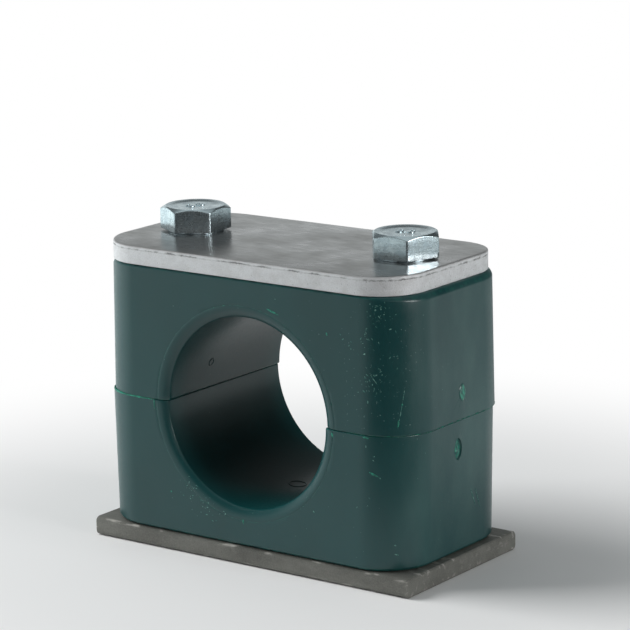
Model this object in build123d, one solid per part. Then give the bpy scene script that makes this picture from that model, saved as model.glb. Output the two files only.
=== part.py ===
"""Single tube clamp, light series, for a 30 mm tube.

Millimetres, +Z up. The origin is the centre of the weld plate's underside, and the tube runs along
Y. From the bottom up: a weld plate with two threaded bosses staked into it, two identical moulded
halves that meet at the tube's centre line, a cover plate, and two hexagon bolts that pass down
through everything into the bosses.
"""

from build123d import *

import os
from math import cos, radians, tan

# Tube and bolts
TUBE_RADIUS = 15.0
THREAD_RADIUS = 3.0
BOLT_TIP_CHAMFER = 0.6

# Moulded halves
CLAMP_WIDTH = 30.0  # along the tube, across the halves and both plates
CROWN_WALL = 6.0  # from the tube to the outer face of a half
BOLT_WEB = 1.65  # thinnest wall between the tube and a bolt hole
END_WALL = 5.7  # from a bolt hole to the end of a half, at its outer face
END_DRAFT = 1.0  # degrees that an end leans out towards the parting face
HALF_CORNER_RADIUS = 7.8
RIM_CHAMFER = 1.1  # around the outer face of a half
MOUTH_WIDTH = 1.8  # the lead-in where the tube enters, across the face
MOUTH_DEPTH = 0.9  # and along the tube

# Cover plate
COVER_THICKNESS = 3.0
COVER_END_MARGIN = 8.5  # from a bolt axis to the end of the plate
COVER_CORNER_RADIUS = 7.6
COVER_EDGE_BREAK = 0.3

# Weld plate and its threaded bosses
WELD_THICKNESS = 3.0
WELD_END_MARGIN = 10.0  # from a bolt axis to the end of the plate
ROLLED_EDGE_RADIUS = 0.8
BOSS_RADIUS = 6.0
BOSS_HEIGHT = 6.5
BOSS_CHAMFER = 0.6
SPIGOT_RADIUS = 4.5
STAKE_FLARE = 0.6  # where the spigot's end is spread into the plate's countersink

# Bolt heads
ACROSS_FLATS = 9.78
HEAD_HEIGHT = 4.0
HEAD_CORNER_RADIUS = 0.4
HEAD_TOP_RADIUS = 4.65  # flat top, inside the chamfer
HEAD_CHAMFER_ANGLE = 30.0
WASHER_FACE_RADIUS = 4.45
WASHER_FACE_HEIGHT = 0.3
HEAD_TURNS = {"left": 32.0, "right": 7.0}  # degrees from +X to a corner, as tightened

# Clearances
BOLT_CLEARANCE = 0.35  # radial, a bolt in the cover plate and in the halves
THREAD_CLEARANCE = 0.05  # radial, a bolt in its boss
BOSS_CLEARANCE = 0.35  # radial, a boss in the counterbore of a half
BOSS_TOP_GAP = 0.5  # above a boss, so that the half seats on the weld plate

# Worked out from the sizes above
bolt_hole_radius = THREAD_RADIUS + BOLT_CLEARANCE
bolt_offset = TUBE_RADIUS + BOLT_WEB + bolt_hole_radius
half_height = TUBE_RADIUS + CROWN_WALL
half_end = bolt_offset + bolt_hole_radius + END_WALL
boss_top_z = WELD_THICKNESS + BOSS_HEIGHT
cover_z = WELD_THICKNESS + 2 * half_height
cover_top_z = cover_z + COVER_THICKNESS
bolt_length = cover_top_z - WELD_THICKNESS  # the tip ends level with the weld plate's top
sides = {"left": -bolt_offset, "right": bolt_offset}


def standing(radius, height):
    """A cylinder that stands on Z 0."""
    return Cylinder(radius, height, align=(Align.CENTER, Align.CENTER, Align.MIN))


def turned(*outline):
    """A solid of revolution about Z, from a half section given as (radius, z) points."""
    return revolve(Plane.XZ * Polygon(*outline, align=None), Axis.Z)


def mouth():
    """What is cut away where the tube enters: a shallow cone, its wide end on Z 0."""
    wide = TUBE_RADIUS + MOUTH_WIDTH
    return Cone(wide, TUBE_RADIUS, MOUTH_DEPTH, align=(Align.CENTER, Align.CENTER, Align.MIN))


def clamp_half():
    """One moulding, standing on its outer face at Z 0 with the parting face up."""
    parting_end = half_end + half_height * tan(radians(END_DRAFT))
    side_view = Polygon(
        (-half_end, 0), (half_end, 0), (parting_end, half_height), (-parting_end, half_height), align=None
    )
    body = extrude(Plane.XZ * side_view, CLAMP_WIDTH / 2, both=True)
    upright_edges = body.edges().filter_by(lambda edge: edge.bounding_box().size.Z > half_height / 2)
    body = fillet(upright_edges, HALF_CORNER_RADIUS)
    body = chamfer(body.edges().group_by(Axis.Z)[0], RIM_CHAMFER)

    body -= Pos(0, 0, half_height) * Rot(90, 0, 0) * Cylinder(TUBE_RADIUS, CLAMP_WIDTH)
    for face, inwards in ((-CLAMP_WIDTH / 2, -90), (CLAMP_WIDTH / 2, 90)):
        body -= Pos(0, face, half_height) * Rot(inwards, 0, 0) * mouth()

    stepped_hole = standing(bolt_hole_radius, half_height)
    stepped_hole += standing(BOSS_RADIUS + BOSS_CLEARANCE, BOSS_HEIGHT + BOSS_TOP_GAP)
    for x in sides.values():
        body -= Pos(x, 0, 0) * stepped_hole
    return body


def cover_plate():
    """Blanked plate with rounded corners and a bolt hole at each end, its upper edge broken."""
    outline = RectangleRounded(2 * (bolt_offset + COVER_END_MARGIN), CLAMP_WIDTH, COVER_CORNER_RADIUS)
    plate = extrude(outline, COVER_THICKNESS)
    plate = chamfer(plate.edges().group_by(Axis.Z)[-1], COVER_EDGE_BREAK)
    for x in sides.values():
        plate -= Pos(x, 0, 0) * standing(bolt_hole_radius, COVER_THICKNESS)
    return plate


def spigot():
    """The part of a boss that fills its hole in the weld plate, its lower end spread by staking."""
    return turned(
        (0, 0),
        (SPIGOT_RADIUS + STAKE_FLARE, 0),
        (SPIGOT_RADIUS, STAKE_FLARE),
        (SPIGOT_RADIUS, WELD_THICKNESS),
        (0, WELD_THICKNESS),
    )


def weld_plate():
    """Length of rolled flat bar with round long edges and square ends, and a hole for each boss."""
    bar_section = Pos(0, WELD_THICKNESS / 2) * RectangleRounded(
        CLAMP_WIDTH, WELD_THICKNESS, ROLLED_EDGE_RADIUS
    )
    plate = extrude(Plane.YZ * bar_section, bolt_offset + WELD_END_MARGIN, both=True)
    for x in sides.values():
        plate -= Pos(x, 0, 0) * spigot()
    return plate


def threaded_boss():
    """Round boss that stands on the weld plate and is staked through it; the thread is a plain bore."""
    collar = turned(
        (0, WELD_THICKNESS),
        (BOSS_RADIUS, WELD_THICKNESS),
        (BOSS_RADIUS, boss_top_z - BOSS_CHAMFER),
        (BOSS_RADIUS - BOSS_CHAMFER, boss_top_z),
        (0, boss_top_z),
    )
    return collar + spigot() - standing(THREAD_RADIUS + THREAD_CLEARANCE, boss_top_z)


def hex_bolt():
    """Hexagon bolt, its head seated on Z 0 and its shank down; the thread is a plain cylinder."""
    blank = extrude(RegularPolygon(ACROSS_FLATS / 2, 6, major_radius=False), HEAD_HEIGHT)
    blank = fillet(blank.edges().filter_by(Axis.Z), HEAD_CORNER_RADIUS)
    corner_radius = ACROSS_FLATS / 2 / cos(radians(30))
    chamfer_drop = (corner_radius - HEAD_TOP_RADIUS) * tan(radians(HEAD_CHAMFER_ANGLE))
    head = blank & turned(
        (0, 0),
        (WASHER_FACE_RADIUS, 0),
        (WASHER_FACE_RADIUS, WASHER_FACE_HEIGHT),
        (corner_radius, WASHER_FACE_HEIGHT),
        (corner_radius, HEAD_HEIGHT - chamfer_drop),
        (HEAD_TOP_RADIUS, HEAD_HEIGHT),
        (0, HEAD_HEIGHT),
    )
    shank = Pos(0, 0, -bolt_length) * standing(THREAD_RADIUS, bolt_length)
    shank = chamfer(shank.edges().group_by(Axis.Z)[0], BOLT_TIP_CHAMFER)
    return head + shank


half = clamp_half()
pieces = {
    "weld_plate": weld_plate(),
    "clamp_half_lower": Pos(0, 0, WELD_THICKNESS) * half,
    "clamp_half_upper": Pos(0, 0, cover_z) * Rot(180, 0, 0) * half,
    "cover_plate": Pos(0, 0, cover_z) * cover_plate(),
}
for side, x in sides.items():
    pieces[f"threaded_boss_{side}"] = Pos(x, 0, 0) * threaded_boss()
    pieces[f"hex_bolt_{side}"] = Pos(x, 0, cover_top_z) * Rot(0, 0, HEAD_TURNS[side]) * hex_bolt()

os.makedirs("parts", exist_ok=True)
for name, piece in pieces.items():
    export_step(piece, f"parts/{name}.step")
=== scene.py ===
"""Visible model of a light-series clamp for a 30 mm tube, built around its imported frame.

Meshes are laid out in millimetres and become metres when their objects are made. Each piece rides
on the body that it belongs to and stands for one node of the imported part, or adds detail to it.
"""

import logging
from collections.abc import Sequence
from dataclasses import dataclass, field
from enum import Enum
from math import asin, cos, pi, radians, sin, tan

import bmesh
import bpy
import numpy as np
from bpy.types import Material, Mesh, Node, NodeSocket, NodeTree, Object
from mathutils import Matrix, Vector, noise


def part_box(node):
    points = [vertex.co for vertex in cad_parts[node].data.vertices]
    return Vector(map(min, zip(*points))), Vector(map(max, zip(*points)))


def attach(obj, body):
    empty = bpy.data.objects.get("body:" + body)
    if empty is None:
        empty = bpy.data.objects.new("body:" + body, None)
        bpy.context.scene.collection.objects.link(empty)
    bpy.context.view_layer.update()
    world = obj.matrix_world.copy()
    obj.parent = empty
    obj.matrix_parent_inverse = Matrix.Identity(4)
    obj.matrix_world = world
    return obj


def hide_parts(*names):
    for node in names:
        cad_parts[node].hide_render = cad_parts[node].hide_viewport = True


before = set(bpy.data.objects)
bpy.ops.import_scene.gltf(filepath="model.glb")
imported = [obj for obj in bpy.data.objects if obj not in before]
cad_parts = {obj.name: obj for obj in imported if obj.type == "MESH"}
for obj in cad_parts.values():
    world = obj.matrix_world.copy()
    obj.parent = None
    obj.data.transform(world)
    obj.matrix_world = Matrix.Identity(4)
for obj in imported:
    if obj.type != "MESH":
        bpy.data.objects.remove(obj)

LOG = logging.getLogger("tube_clamp")
MM = 0.001
HOLE_OFFSET = 20.0  # from the middle to a bolt's axis
HOLE_RADIUS = 3.35
MIRRORED_X = (-1.0, 1.0, 1.0)
MIRRORED_Y = (1.0, -1.0, 1.0)
HANDS = (1.0, -1.0)  # the right side and the left one
GROWN_CREASE = 40.0  # in degrees, on what a geometry tree has grown

Point = tuple[float, float, float]
Colour = tuple[float, float, float, float]
Value = NodeSocket | float | int | bool | str | tuple[float, ...]
Inputs = dict[str | int, Value]
Loop = np.ndarray  # points of a closed loop or a row, one per line


# ---------------------------------------------------------------------------------------------
# Node trees
# ---------------------------------------------------------------------------------------------


class TreeWriter:
    """Adds nodes to one shader or geometry tree and joins them up as it goes."""

    def __init__(self, tree: NodeTree) -> None:
        """Starts on a tree, emptied first."""
        self.tree = tree
        tree.nodes.clear()

    def node(self, kind: str, inputs: Inputs | None = None, **settings: object) -> Node:
        """Adds one node.

        Args:
            kind: The node's type.
            inputs: What each socket gets, a value or another node's output.
            settings: Properties set before the sockets are filled.

        Returns:
            The new node.
        """
        made = self.tree.nodes.new(kind)
        for setting, value in settings.items():
            setattr(made, setting, value)
        for key, value in (inputs or {}).items():
            if isinstance(value, NodeSocket):
                self.tree.links.new(value, made.inputs[key])
            else:
                made.inputs[key].default_value = value
        return made

    def make(self, kind: str, inputs: Inputs | None = None, **settings: object) -> NodeSocket:
        """Adds one node and returns its first output."""
        return self.node(kind, inputs, **settings).outputs[0]

    def math(self, operation: str, first: Value, second: Value = 0.0) -> NodeSocket:
        """Returns the result of a Math node."""
        return self.make("ShaderNodeMath", {0: first, 1: second}, operation=operation)

    def plus(self, first: Value, second: Value) -> NodeSocket:
        """Returns a sum."""
        return self.math("ADD", first, second)

    def minus(self, first: Value, second: Value) -> NodeSocket:
        """Returns a difference."""
        return self.math("SUBTRACT", first, second)

    def times(self, first: Value, second: Value) -> NodeSocket:
        """Returns a product."""
        return self.math("MULTIPLY", first, second)

    def vector(self, operation: str, first: Value, second: Value | None = None) -> NodeSocket:
        """Returns the vector of a Vector Math node, or the value of one that gives a value.

        Args:
            operation: What the node does.
            first: Its first vector.
            second: Its second vector or its scale.

        Returns:
            The result.
        """
        inputs: Inputs = {0: first}
        if second is not None:
            inputs["Scale" if operation == "SCALE" else 1] = second
        gives_value = operation in ("LENGTH", "DISTANCE", "DOT_PRODUCT")
        return self.node("ShaderNodeVectorMath", inputs, operation=operation).outputs[int(gives_value)]

    def axis(self, vector: NodeSocket, number: int) -> NodeSocket:
        """Returns one coordinate of a vector."""
        return self.node("ShaderNodeSeparateXYZ", {"Vector": vector}).outputs[number]

    def ramp(self, value: Value, start: Value, stop: Value, low: Value = 0.0, high: Value = 1.0,
             smooth: bool = False) -> NodeSocket:
        """Maps a value from one range to another, clamped.

        Args:
            value: What is mapped.
            start: Where the result is low.
            stop: Where the result is high.
            low: The result at start.
            high: The result at stop.
            smooth: Eases both ends.

        Returns:
            The mapped value.
        """
        return self.make("ShaderNodeMapRange", {0: value, 1: start, 2: stop, 3: low, 4: high},
                         interpolation_type="SMOOTHSTEP" if smooth else "LINEAR", clamp=True)

    def spread(self, value: Value, low: Value, high: Value) -> NodeSocket:
        """Maps a value from the range 0 to 1 to another."""
        return self.ramp(value, 0.0, 1.0, low, high)

    def blend(self, factor: Value, first: Value, second: Value) -> NodeSocket:
        """Returns one colour blended into another."""
        return self.node("ShaderNodeMix", {0: factor, 6: first, 7: second}, data_type="RGBA",
                         blend_type="MIX", clamp_factor=True).outputs[2]

    def noise(self, vector: Value, scale: Value, detail: float) -> NodeSocket:
        """Returns the value of a Noise Texture."""
        return self.make("ShaderNodeTexNoise", {"Vector": vector, "Scale": scale, "Detail": detail})

    def group(self, tree: NodeTree, **inputs: Value) -> NodeSocket:
        """Places a shader group and returns what it puts out."""
        return self.make("ShaderNodeGroup", inputs, node_tree=tree)


class SocketKind(Enum):
    """The kinds of socket that the trees here show outside."""

    GEOMETRY = "NodeSocketGeometry"
    NUMBER = "NodeSocketFloat"
    WHOLE = "NodeSocketInt"
    PLACE = "NodeSocketVector"
    MATERIAL = "NodeSocketMaterial"


class GroupWriter(TreeWriter):
    """Writes a node group with named inputs and one output."""

    kind = "ShaderNodeTree"
    output_kind = SocketKind.NUMBER

    def __init__(self, name: str, output: str, **inputs: SocketKind) -> None:
        """Starts the group.

        Args:
            name: The group's name.
            output: The socket that it fills.
            inputs: The sockets that its users fill.
        """
        super().__init__(bpy.data.node_groups.new(name, self.kind))
        for socket, kind in inputs.items():
            self.tree.interface.new_socket(name=socket, in_out="INPUT", socket_type=kind.value)
        self.tree.interface.new_socket(name=output, in_out="OUTPUT", socket_type=self.output_kind.value)
        self.given = self.node("NodeGroupInput").outputs
        self.output = self.node("NodeGroupOutput").inputs[0]

    def close(self, result: NodeSocket) -> NodeTree:
        """Joins the result to the output and returns the group."""
        self.tree.links.new(result, self.output)
        return self.tree


class SharedEffects:
    """Shader groups that more than one finish uses. They put out masks and values only."""

    def __init__(self) -> None:
        """Builds every group once."""
        self.grain = self._grain()
        self.edge_wear = self._edge_wear()
        self.specks = self._marks("specks", scratches=False)
        self.strokes = self._marks("strokes", scratches=True)
        self.surroundings = self._surroundings()

    @staticmethod
    def _grain() -> NodeTree:
        """Noise stretched along the axes and spread to the range 0 to 1.

        Returns:
            The group.
        """
        group = GroupWriter("grain", "Value", Vector=SocketKind.PLACE, Stretch=SocketKind.PLACE,
                            Scale=SocketKind.NUMBER, Low=SocketKind.NUMBER, High=SocketKind.NUMBER)
        given = group.given
        stretched = group.vector("MULTIPLY", given["Vector"], given["Stretch"])
        rough = group.noise(stretched, given["Scale"], detail=4.0)
        return group.close(group.ramp(rough, given["Low"], given["High"]))

    @staticmethod
    def _edge_wear() -> NodeTree:
        """Broken bright patches where the Edge value is high.

        Returns:
            The group.
        """
        group = GroupWriter("edge wear", "Mask", Vector=SocketKind.PLACE, Edge=SocketKind.NUMBER,
                            Scale=SocketKind.NUMBER, Amount=SocketKind.NUMBER)
        given = group.given
        patches = group.noise(given["Vector"], given["Scale"], detail=5.0)
        reach = group.minus(1.0, given["Amount"])
        broken = group.ramp(patches, reach, group.plus(reach, 0.12), smooth=True)
        return group.close(group.times(broken, given["Edge"]))

    @staticmethod
    def _marks(name: str, scratches: bool) -> NodeTree:
        """Marks in some of a fine cell pattern's cells, within reach of a point.

        Args:
            name: The group's name.
            scratches: Draws the marks out into short scratches; else they are small round specks.

        Returns:
            The group.
        """
        turn = {"Turn": SocketKind.PLACE} if scratches else {}
        group = GroupWriter(name, "Mask", Vector=SocketKind.PLACE, Centre=SocketKind.PLACE,
                            Reach=SocketKind.NUMBER, Scale=SocketKind.NUMBER, Share=SocketKind.NUMBER, **turn)
        given = group.given
        place, solid, clear = given["Vector"], 0.1, 0.26
        if scratches:
            turned = group.make("ShaderNodeMapping", {"Vector": place, "Rotation": given["Turn"]})
            place, solid, clear = group.vector("MULTIPLY", turned, (1.0, 1.0, 0.14)), 0.04, 0.13
        cells = group.node("ShaderNodeTexVoronoi", {"Vector": place, "Scale": given["Scale"]}).outputs
        shape = group.ramp(cells["Distance"], solid, clear, 1.0, 0.0, smooth=True)
        draw = group.node("ShaderNodeSeparateColor", {"Color": cells["Color"]}).outputs[int(scratches)]
        away = group.vector("DISTANCE", given["Vector"], given["Centre"])
        near = group.ramp(away, group.times(given["Reach"], 0.35), given["Reach"], 1.0, 0.0, smooth=True)
        chosen = group.math("LESS_THAN", draw, group.times(near, given["Share"]))
        return group.close(group.times(shape, chosen))

    @staticmethod
    def _surroundings() -> NodeTree:
        """How bright the studio is in a level direction: dark in front, brightest at the left.

        Returns:
            The group.
        """
        plain, left, behind, dimmest = 0.62, 0.38, 0.32, 0.065
        group = GroupWriter("surroundings", "Level", Direction=SocketKind.PLACE)
        level_part = group.vector("MULTIPLY", group.given["Direction"], (1.0, 1.0, 0.0))
        heading = group.vector("NORMALIZE", level_part)

        def facing(azimuth: float, outer: float, inner: float) -> NodeSocket:
            """Returns 1 within inner degrees of an azimuth, falling to 0 at outer degrees.

            Args:
                azimuth: The direction, 0 in front and 90 to the right.
                outer: Where it reaches 0.
                inner: Where it leaves 1.

            Returns:
                The value.
            """
            there = (sin(radians(azimuth)), -cos(radians(azimuth)), 0.0)
            towards = group.vector("DOT_PRODUCT", heading, there)
            return group.ramp(towards, cos(radians(outer)), cos(radians(inner)), smooth=True)

        level = group.plus(plain, group.times(facing(-96.0, 62.0, 22.0), left))
        level = group.plus(level, group.times(facing(141.0, 27.0, 4.0), behind))
        level = group.times(level, group.minus(1.0, facing(46.0, 54.0, 43.0)))
        return group.close(group.plus(level, dimmest))


# ---------------------------------------------------------------------------------------------
# Finishes
# ---------------------------------------------------------------------------------------------


def tint(red: float, green: float, blue: float) -> Colour:
    """Turns a colour as a display shows it, 0 to 255, into the linear one that a shader takes.

    Args:
        red: The first component.
        green: The second.
        blue: The third.

    Returns:
        The linear colour.
    """

    def linear(part: float) -> float:
        """Returns one linear component."""
        share = part / 255
        return share / 12.92 if share <= 0.04045 else ((share + 0.055) / 1.055) ** 2.4

    return linear(red), linear(green), linear(blue), 1.0


class FinishWriter(TreeWriter):
    """Writes one finish. Its patterns are laid out in millimetres on object coordinates."""

    def __init__(self, tree: NodeTree, effects: SharedEffects) -> None:
        """Starts on a material's tree, with the shared shader groups at hand.

        Args:
            tree: The material's tree.
            effects: The shared shader groups.
        """
        super().__init__(tree)
        self.effects = effects
        self.place = self.vector("SCALE", self.node("ShaderNodeTexCoord").outputs["Object"], 1 / MM)

    def grain(self, scale: float, low: float, high: float, stretch: Point = (1.0, 1.0, 1.0)) -> NodeSocket:
        """Returns noise between two of its levels, spread to the range 0 to 1."""
        return self.group(self.effects.grain, Vector=self.place, Stretch=stretch, Scale=scale, Low=low,
                          High=high)

    def mark(self, name: str) -> NodeSocket:
        """Returns the value of one of the mesh's own attributes."""
        return self.node("ShaderNodeAttribute", attribute_name=name).outputs["Fac"]

    def worn(self, scale: float, amount: float, place: NodeSocket | None = None) -> NodeSocket:
        """Returns the patches on the edges that the mesh marks: rubbed wear, and on the mouldings' lip a
        painted highlight.

        Args:
            scale: Of the patches.
            amount: How much of the edges they cover.
            place: Where the patches are laid out, else as every pattern.

        Returns:
            The mask.
        """
        place = self.place if place is None else place
        return self.group(self.effects.edge_wear, Vector=place, Edge=self.mark("wear"), Scale=scale,
                          Amount=amount)

    def relief(self, *parts: tuple[Value, float]) -> NodeSocket:
        """Adds heights up and turns them into a normal.

        Args:
            parts: Pairs of a 0 to 1 height and what 1 stands for, in millimetres.

        Returns:
            The normal.
        """
        height: Value = 0.0
        for value, size in parts:
            height = self.plus(height, self.times(value, size))
        return self.make("ShaderNodeBump", {"Distance": MM, "Height": height})


@dataclass(frozen=True)
class Finish:
    """A procedural finish."""

    name: str

    def material(self, effects: SharedEffects) -> Material:
        """Builds the material.

        Args:
            effects: The shared shader groups.

        Returns:
            The new material.
        """
        made = bpy.data.materials.new(self.name)
        made.use_nodes = True
        writer = FinishWriter(made.node_tree, effects)
        surface = writer.make("ShaderNodeBsdfPrincipled", self.inputs(writer))
        writer.node("ShaderNodeOutputMaterial", {"Surface": surface})
        return made

    def inputs(self, w: FinishWriter) -> Inputs:
        """Writes the finish's own nodes and returns what its shader gets."""
        raise NotImplementedError


@dataclass(frozen=True)
class MouldedGreen(Finish):
    """Dark green moulded polypropylene with a soft gloss, with scuffs on the corner that gets handled and a
    painted sheen on its ends.
    """

    deep: Colour = tint(12, 62, 63)
    fresh: Colour = tint(16, 70, 71)
    # Pale grey-green of the scuffs, also used for the painted sheen on the ends.
    scuff_and_sheen: Colour = tint(128, 168, 160)
    # Paler green of stress-whitened edges, also used for the painted highlight on the mouths' lip.
    stress_and_highlight: Colour = tint(38, 112, 98)
    torn: Colour = tint(52, 158, 132)
    roughness: float = 0.33
    scuffs: tuple[tuple[Point, float, float], ...] = (
        ((24.5, -13.5, 37.0), 11.0, 0.2),
        ((24.0, -14.0, 28.0), 7.0, 0.25),
        ((10.0, -15.0, 22.0), 40.0, 0.02),
    )

    def inputs(self, w: FinishWriter) -> Inputs:
        """Writes the finish's own nodes and returns what its shader gets.

        Args:
            w: Writes the material's tree.

        Returns:
            A value or a socket for each input of the shader.
        """
        mottle = w.grain(1.9, 0.25, 0.75)
        scuff: Value = 0.0
        for index, (centre, reach, share) in enumerate(self.scuffs):
            near = {"Vector": w.place, "Centre": centre, "Reach": reach}
            dots = w.group(w.effects.specks, **near, Scale=2.4, Share=share)
            dashes = w.group(w.effects.strokes, **near, Scale=2.1, Share=share * 0.8,
                             Turn=(0.2, 0.35 - 0.5 * index, 0.0))
            scuff = w.math("MAXIMUM", scuff, w.math("MAXIMUM", dots, dashes))
        scuff = w.times(scuff, w.grain(1.1, 0.35, 0.75, (1.0, 1.0, 0.8)))
        colour = w.blend(w.grain(0.07, 0.3, 0.7, (1.0, 1.0, 0.45)), self.deep, self.fresh)
        colour = w.blend(w.spread(mottle, 0.0, 0.16), colour, self.deep)
        # Paler soft vertical bands on both ends: a painted sheen.
        ends = w.ramp(w.math("ABSOLUTE", w.axis(w.place, 0)), 25.0, 29.0, 0.0, 0.11, smooth=True)
        painted_end_sheen = w.times(w.grain(0.17, 0.35, 0.75, (1.0, 1.0, 0.4)), ends)
        colour = w.blend(painted_end_sheen, colour, self.scuff_and_sheen)
        # Paler green on the edges that the mesh marks: rubbed wear, and on the mouths' lip a painted
        # highlight.
        colour = w.blend(w.times(w.worn(0.9, 0.55), 0.55), colour, self.stress_and_highlight)
        colour = w.blend(w.times(scuff, 0.75), colour, self.scuff_and_sheen)
        fibre = w.grain(3.2, 0.35, 0.65, (1.0, 1.0, 0.4))
        colour = w.blend(w.mark("cut"), colour, w.blend(fibre, self.fresh, self.torn))
        rough = w.plus(w.spread(mottle, self.roughness - 0.05, self.roughness + 0.05), w.times(scuff, 0.3))
        sink, peel = w.noise(w.place, 0.11, detail=1.0), w.grain(5.5, 0.2, 0.8)
        return {"Base Color": colour, "Roughness": rough, "IOR": 1.56,
                "Normal": w.relief((sink, 0.09), (mottle, 0.004), (peel, 0.0016), (scuff, 0.02))}


@dataclass(frozen=True)
class TornGreen(Finish):
    """The same plastic where it is thin or torn: flash, gate scars and chips, paler and brighter."""

    thin: Colour = tint(52, 158, 132)
    thick: Colour = tint(20, 92, 80)
    duller: float = 0.0  # added to the roughness
    gloss: float = 0.5

    def inputs(self, w: FinishWriter) -> Inputs:
        """Writes the finish's own nodes and returns what its shader gets.

        Args:
            w: Writes the material's tree.

        Returns:
            A value or a socket for each input of the shader.
        """
        torn, fibre = w.grain(2.6, 0.35, 0.65), w.grain(9.0, 0.3, 0.7, (1.0, 1.0, 0.3))
        return {"Base Color": w.blend(torn, self.thick, self.thin),
                "Roughness": w.spread(fibre, 0.38 + self.duller, 0.62 + self.duller),
                "Normal": w.relief((torn, 0.03), (fibre, 0.01)),
                "IOR": 1.49, "Specular IOR Level": self.gloss}


@dataclass(frozen=True)
class BlankedSteel(Finish):
    """Zinc-plated strip: a faintly brushed top and a paler, grainy blanked edge."""

    top: Colour = tint(210, 207, 207)
    stain: Colour = tint(177, 174, 171)
    edge: Colour = tint(238, 239, 241)
    soot: Colour = tint(96, 96, 96)
    break_level: float = 47.4  # where the sheared side turns from smooth to torn

    def inputs(self, w: FinishWriter) -> Inputs:
        """Writes the finish's own nodes and returns what its shader gets.

        Args:
            w: Writes the material's tree.

        Returns:
            A value or a socket for each input of the shader.
        """
        cut = w.mark("cut")
        uncut = w.minus(1.0, cut)
        brushed, fine = w.grain(3.4, 0.3, 0.7, (0.09, 1.0, 1.0)), w.grain(11.0, 0.25, 0.75, (0.05, 1.0, 1.0))
        cloud, grit = w.grain(0.16, 0.3, 0.7), w.grain(5.0, 0.3, 0.7)
        patch = w.grain(0.9, 0.42, 0.72, (0.7, 0.7, 1.0))
        pits = w.group(w.effects.specks, Vector=w.place, Centre=(0.0, 0.0, 46.0), Reach=90.0, Scale=2.6,
                       Share=0.1)
        plain = w.blend(cloud, self.top, self.stain)
        plain = w.blend(w.spread(brushed, 0.0, 0.34), plain, self.soot)
        level = w.plus(w.minus(w.axis(w.place, 2), self.break_level), w.times(w.minus(grit, patch), 0.14))
        broken = w.ramp(w.math("ABSOLUTE", level), 0.04, 0.17, 1.0, 0.0, smooth=True)
        broken = w.times(broken, w.ramp(patch, 0.1, 0.6, 0.15, 0.75))
        sheared = w.blend(w.spread(grit, 0.0, 0.25), self.edge, self.stain)
        sheared = w.blend(w.spread(patch, 0.0, 0.25), sheared, self.stain)
        sheared = w.blend(broken, sheared, self.soot)
        colour = w.blend(w.times(pits, 0.45), w.blend(cut, plain, sheared), self.soot)
        smooth = w.ramp(w.plus(cloud, brushed), 0.0, 2.0, 0.24, 0.36)
        rough = w.plus(w.times(smooth, uncut), w.times(w.spread(grit, 0.5, 0.7), cut))
        line = w.times(w.plus(brushed, w.times(fine, 0.5)), uncut)
        wave = w.noise(w.place, 0.14, detail=1.0)
        return {"Base Color": colour, "Metallic": w.spread(cut, 1.0, 0.3), "Roughness": rough,
                "Normal": w.relief((line, 0.0022), (w.times(grit, cut), 0.03), (pits, -0.01), (wave, 0.05))}


@dataclass(frozen=True)
class ZincBolt(Finish):
    """Bright zinc with a blue cast over forged and trimmed flats."""

    bright: Colour = tint(212, 226, 230)
    blue: Colour = tint(182, 200, 209)
    dull: Colour = tint(124, 134, 136)

    def inputs(self, w: FinishWriter) -> Inputs:
        """Writes the finish's own nodes and returns what its shader gets.

        Args:
            w: Writes the material's tree.

        Returns:
            A value or a socket for each input of the shader.
        """
        drawn, fine = w.grain(1.5, 0.3, 0.7, (0.35, 0.35, 2.4)), w.grain(5.0, 0.3, 0.7, (0.4, 0.4, 3.0))
        cloud = w.grain(0.9, 0.32, 0.68)
        colour = w.blend(w.spread(cloud, 0.0, 0.7), self.bright, self.blue)
        colour = w.blend(w.ramp(drawn, 0.5, 1.0, 0.0, 0.35), colour, self.dull)
        colour = w.blend(w.times(w.worn(2.2, 0.62), 0.7), colour, self.bright)
        return {"Base Color": colour, "Metallic": 1.0,
                "Roughness": w.plus(w.spread(cloud, 0.2, 0.28), w.spread(fine, 0.0, 0.06)),
                "Normal": w.relief((drawn, 0.004), (fine, 0.001), (cloud, 0.008))}


@dataclass(frozen=True)
class PhosphatedSteel(Finish):
    """Hot-rolled bar with a thin grey-brown phosphate coat, rubbed bright along its edges."""

    coat: Colour = tint(120, 121, 115)
    spots: Colour = tint(86, 87, 82)
    bare: Colour = tint(206, 203, 196)

    def inputs(self, w: FinishWriter) -> Inputs:
        """Writes the finish's own nodes and returns what its shader gets.

        Args:
            w: Writes the material's tree.

        Returns:
            A value or a socket for each input of the shader.
        """
        rolled, crystal = w.grain(1.4, 0.3, 0.7, (0.3, 1.0, 1.0)), w.grain(5.5, 0.25, 0.75)
        cloud = w.grain(0.22, 0.3, 0.7, (0.6, 1.0, 1.0))
        worn = w.worn(0.9, 0.45, w.vector("MULTIPLY", w.place, (0.3, 1.0, 1.0)))
        colour = w.blend(cloud, self.coat, self.spots)
        colour = w.blend(w.spread(rolled, 0.0, 0.4), colour, self.spots)
        colour = w.blend(w.spread(crystal, 0.0, 0.2), colour, self.bare)
        colour = w.blend(w.times(worn, 0.9), colour, self.bare)
        return {"Base Color": colour, "Metallic": 0.4,
                "Roughness": w.minus(w.spread(crystal, 0.5, 0.66), w.times(worn, 0.18)),
                "Normal": w.relief((rolled, 0.02), (crystal, 0.009), (cloud, 0.05))}


# ---------------------------------------------------------------------------------------------
# Meshes
# ---------------------------------------------------------------------------------------------


def along(start: float, stop: float, count: int) -> np.ndarray:
    """Returns count + 1 evenly spaced values from start to stop."""
    return np.linspace(start, stop, count + 1)


def row(x: float | np.ndarray, y: float | np.ndarray, z: float | np.ndarray) -> Loop:
    """Returns points from their coordinates, each given once for all or point by point."""
    return np.column_stack(np.broadcast_arrays(x, y, z))


def circle(count: int) -> Loop:
    """Returns the points of a unit circle."""
    turns = along(0.0, 2 * pi, count)[:-1]
    return row(np.cos(turns), np.sin(turns), 0.0)


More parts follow.
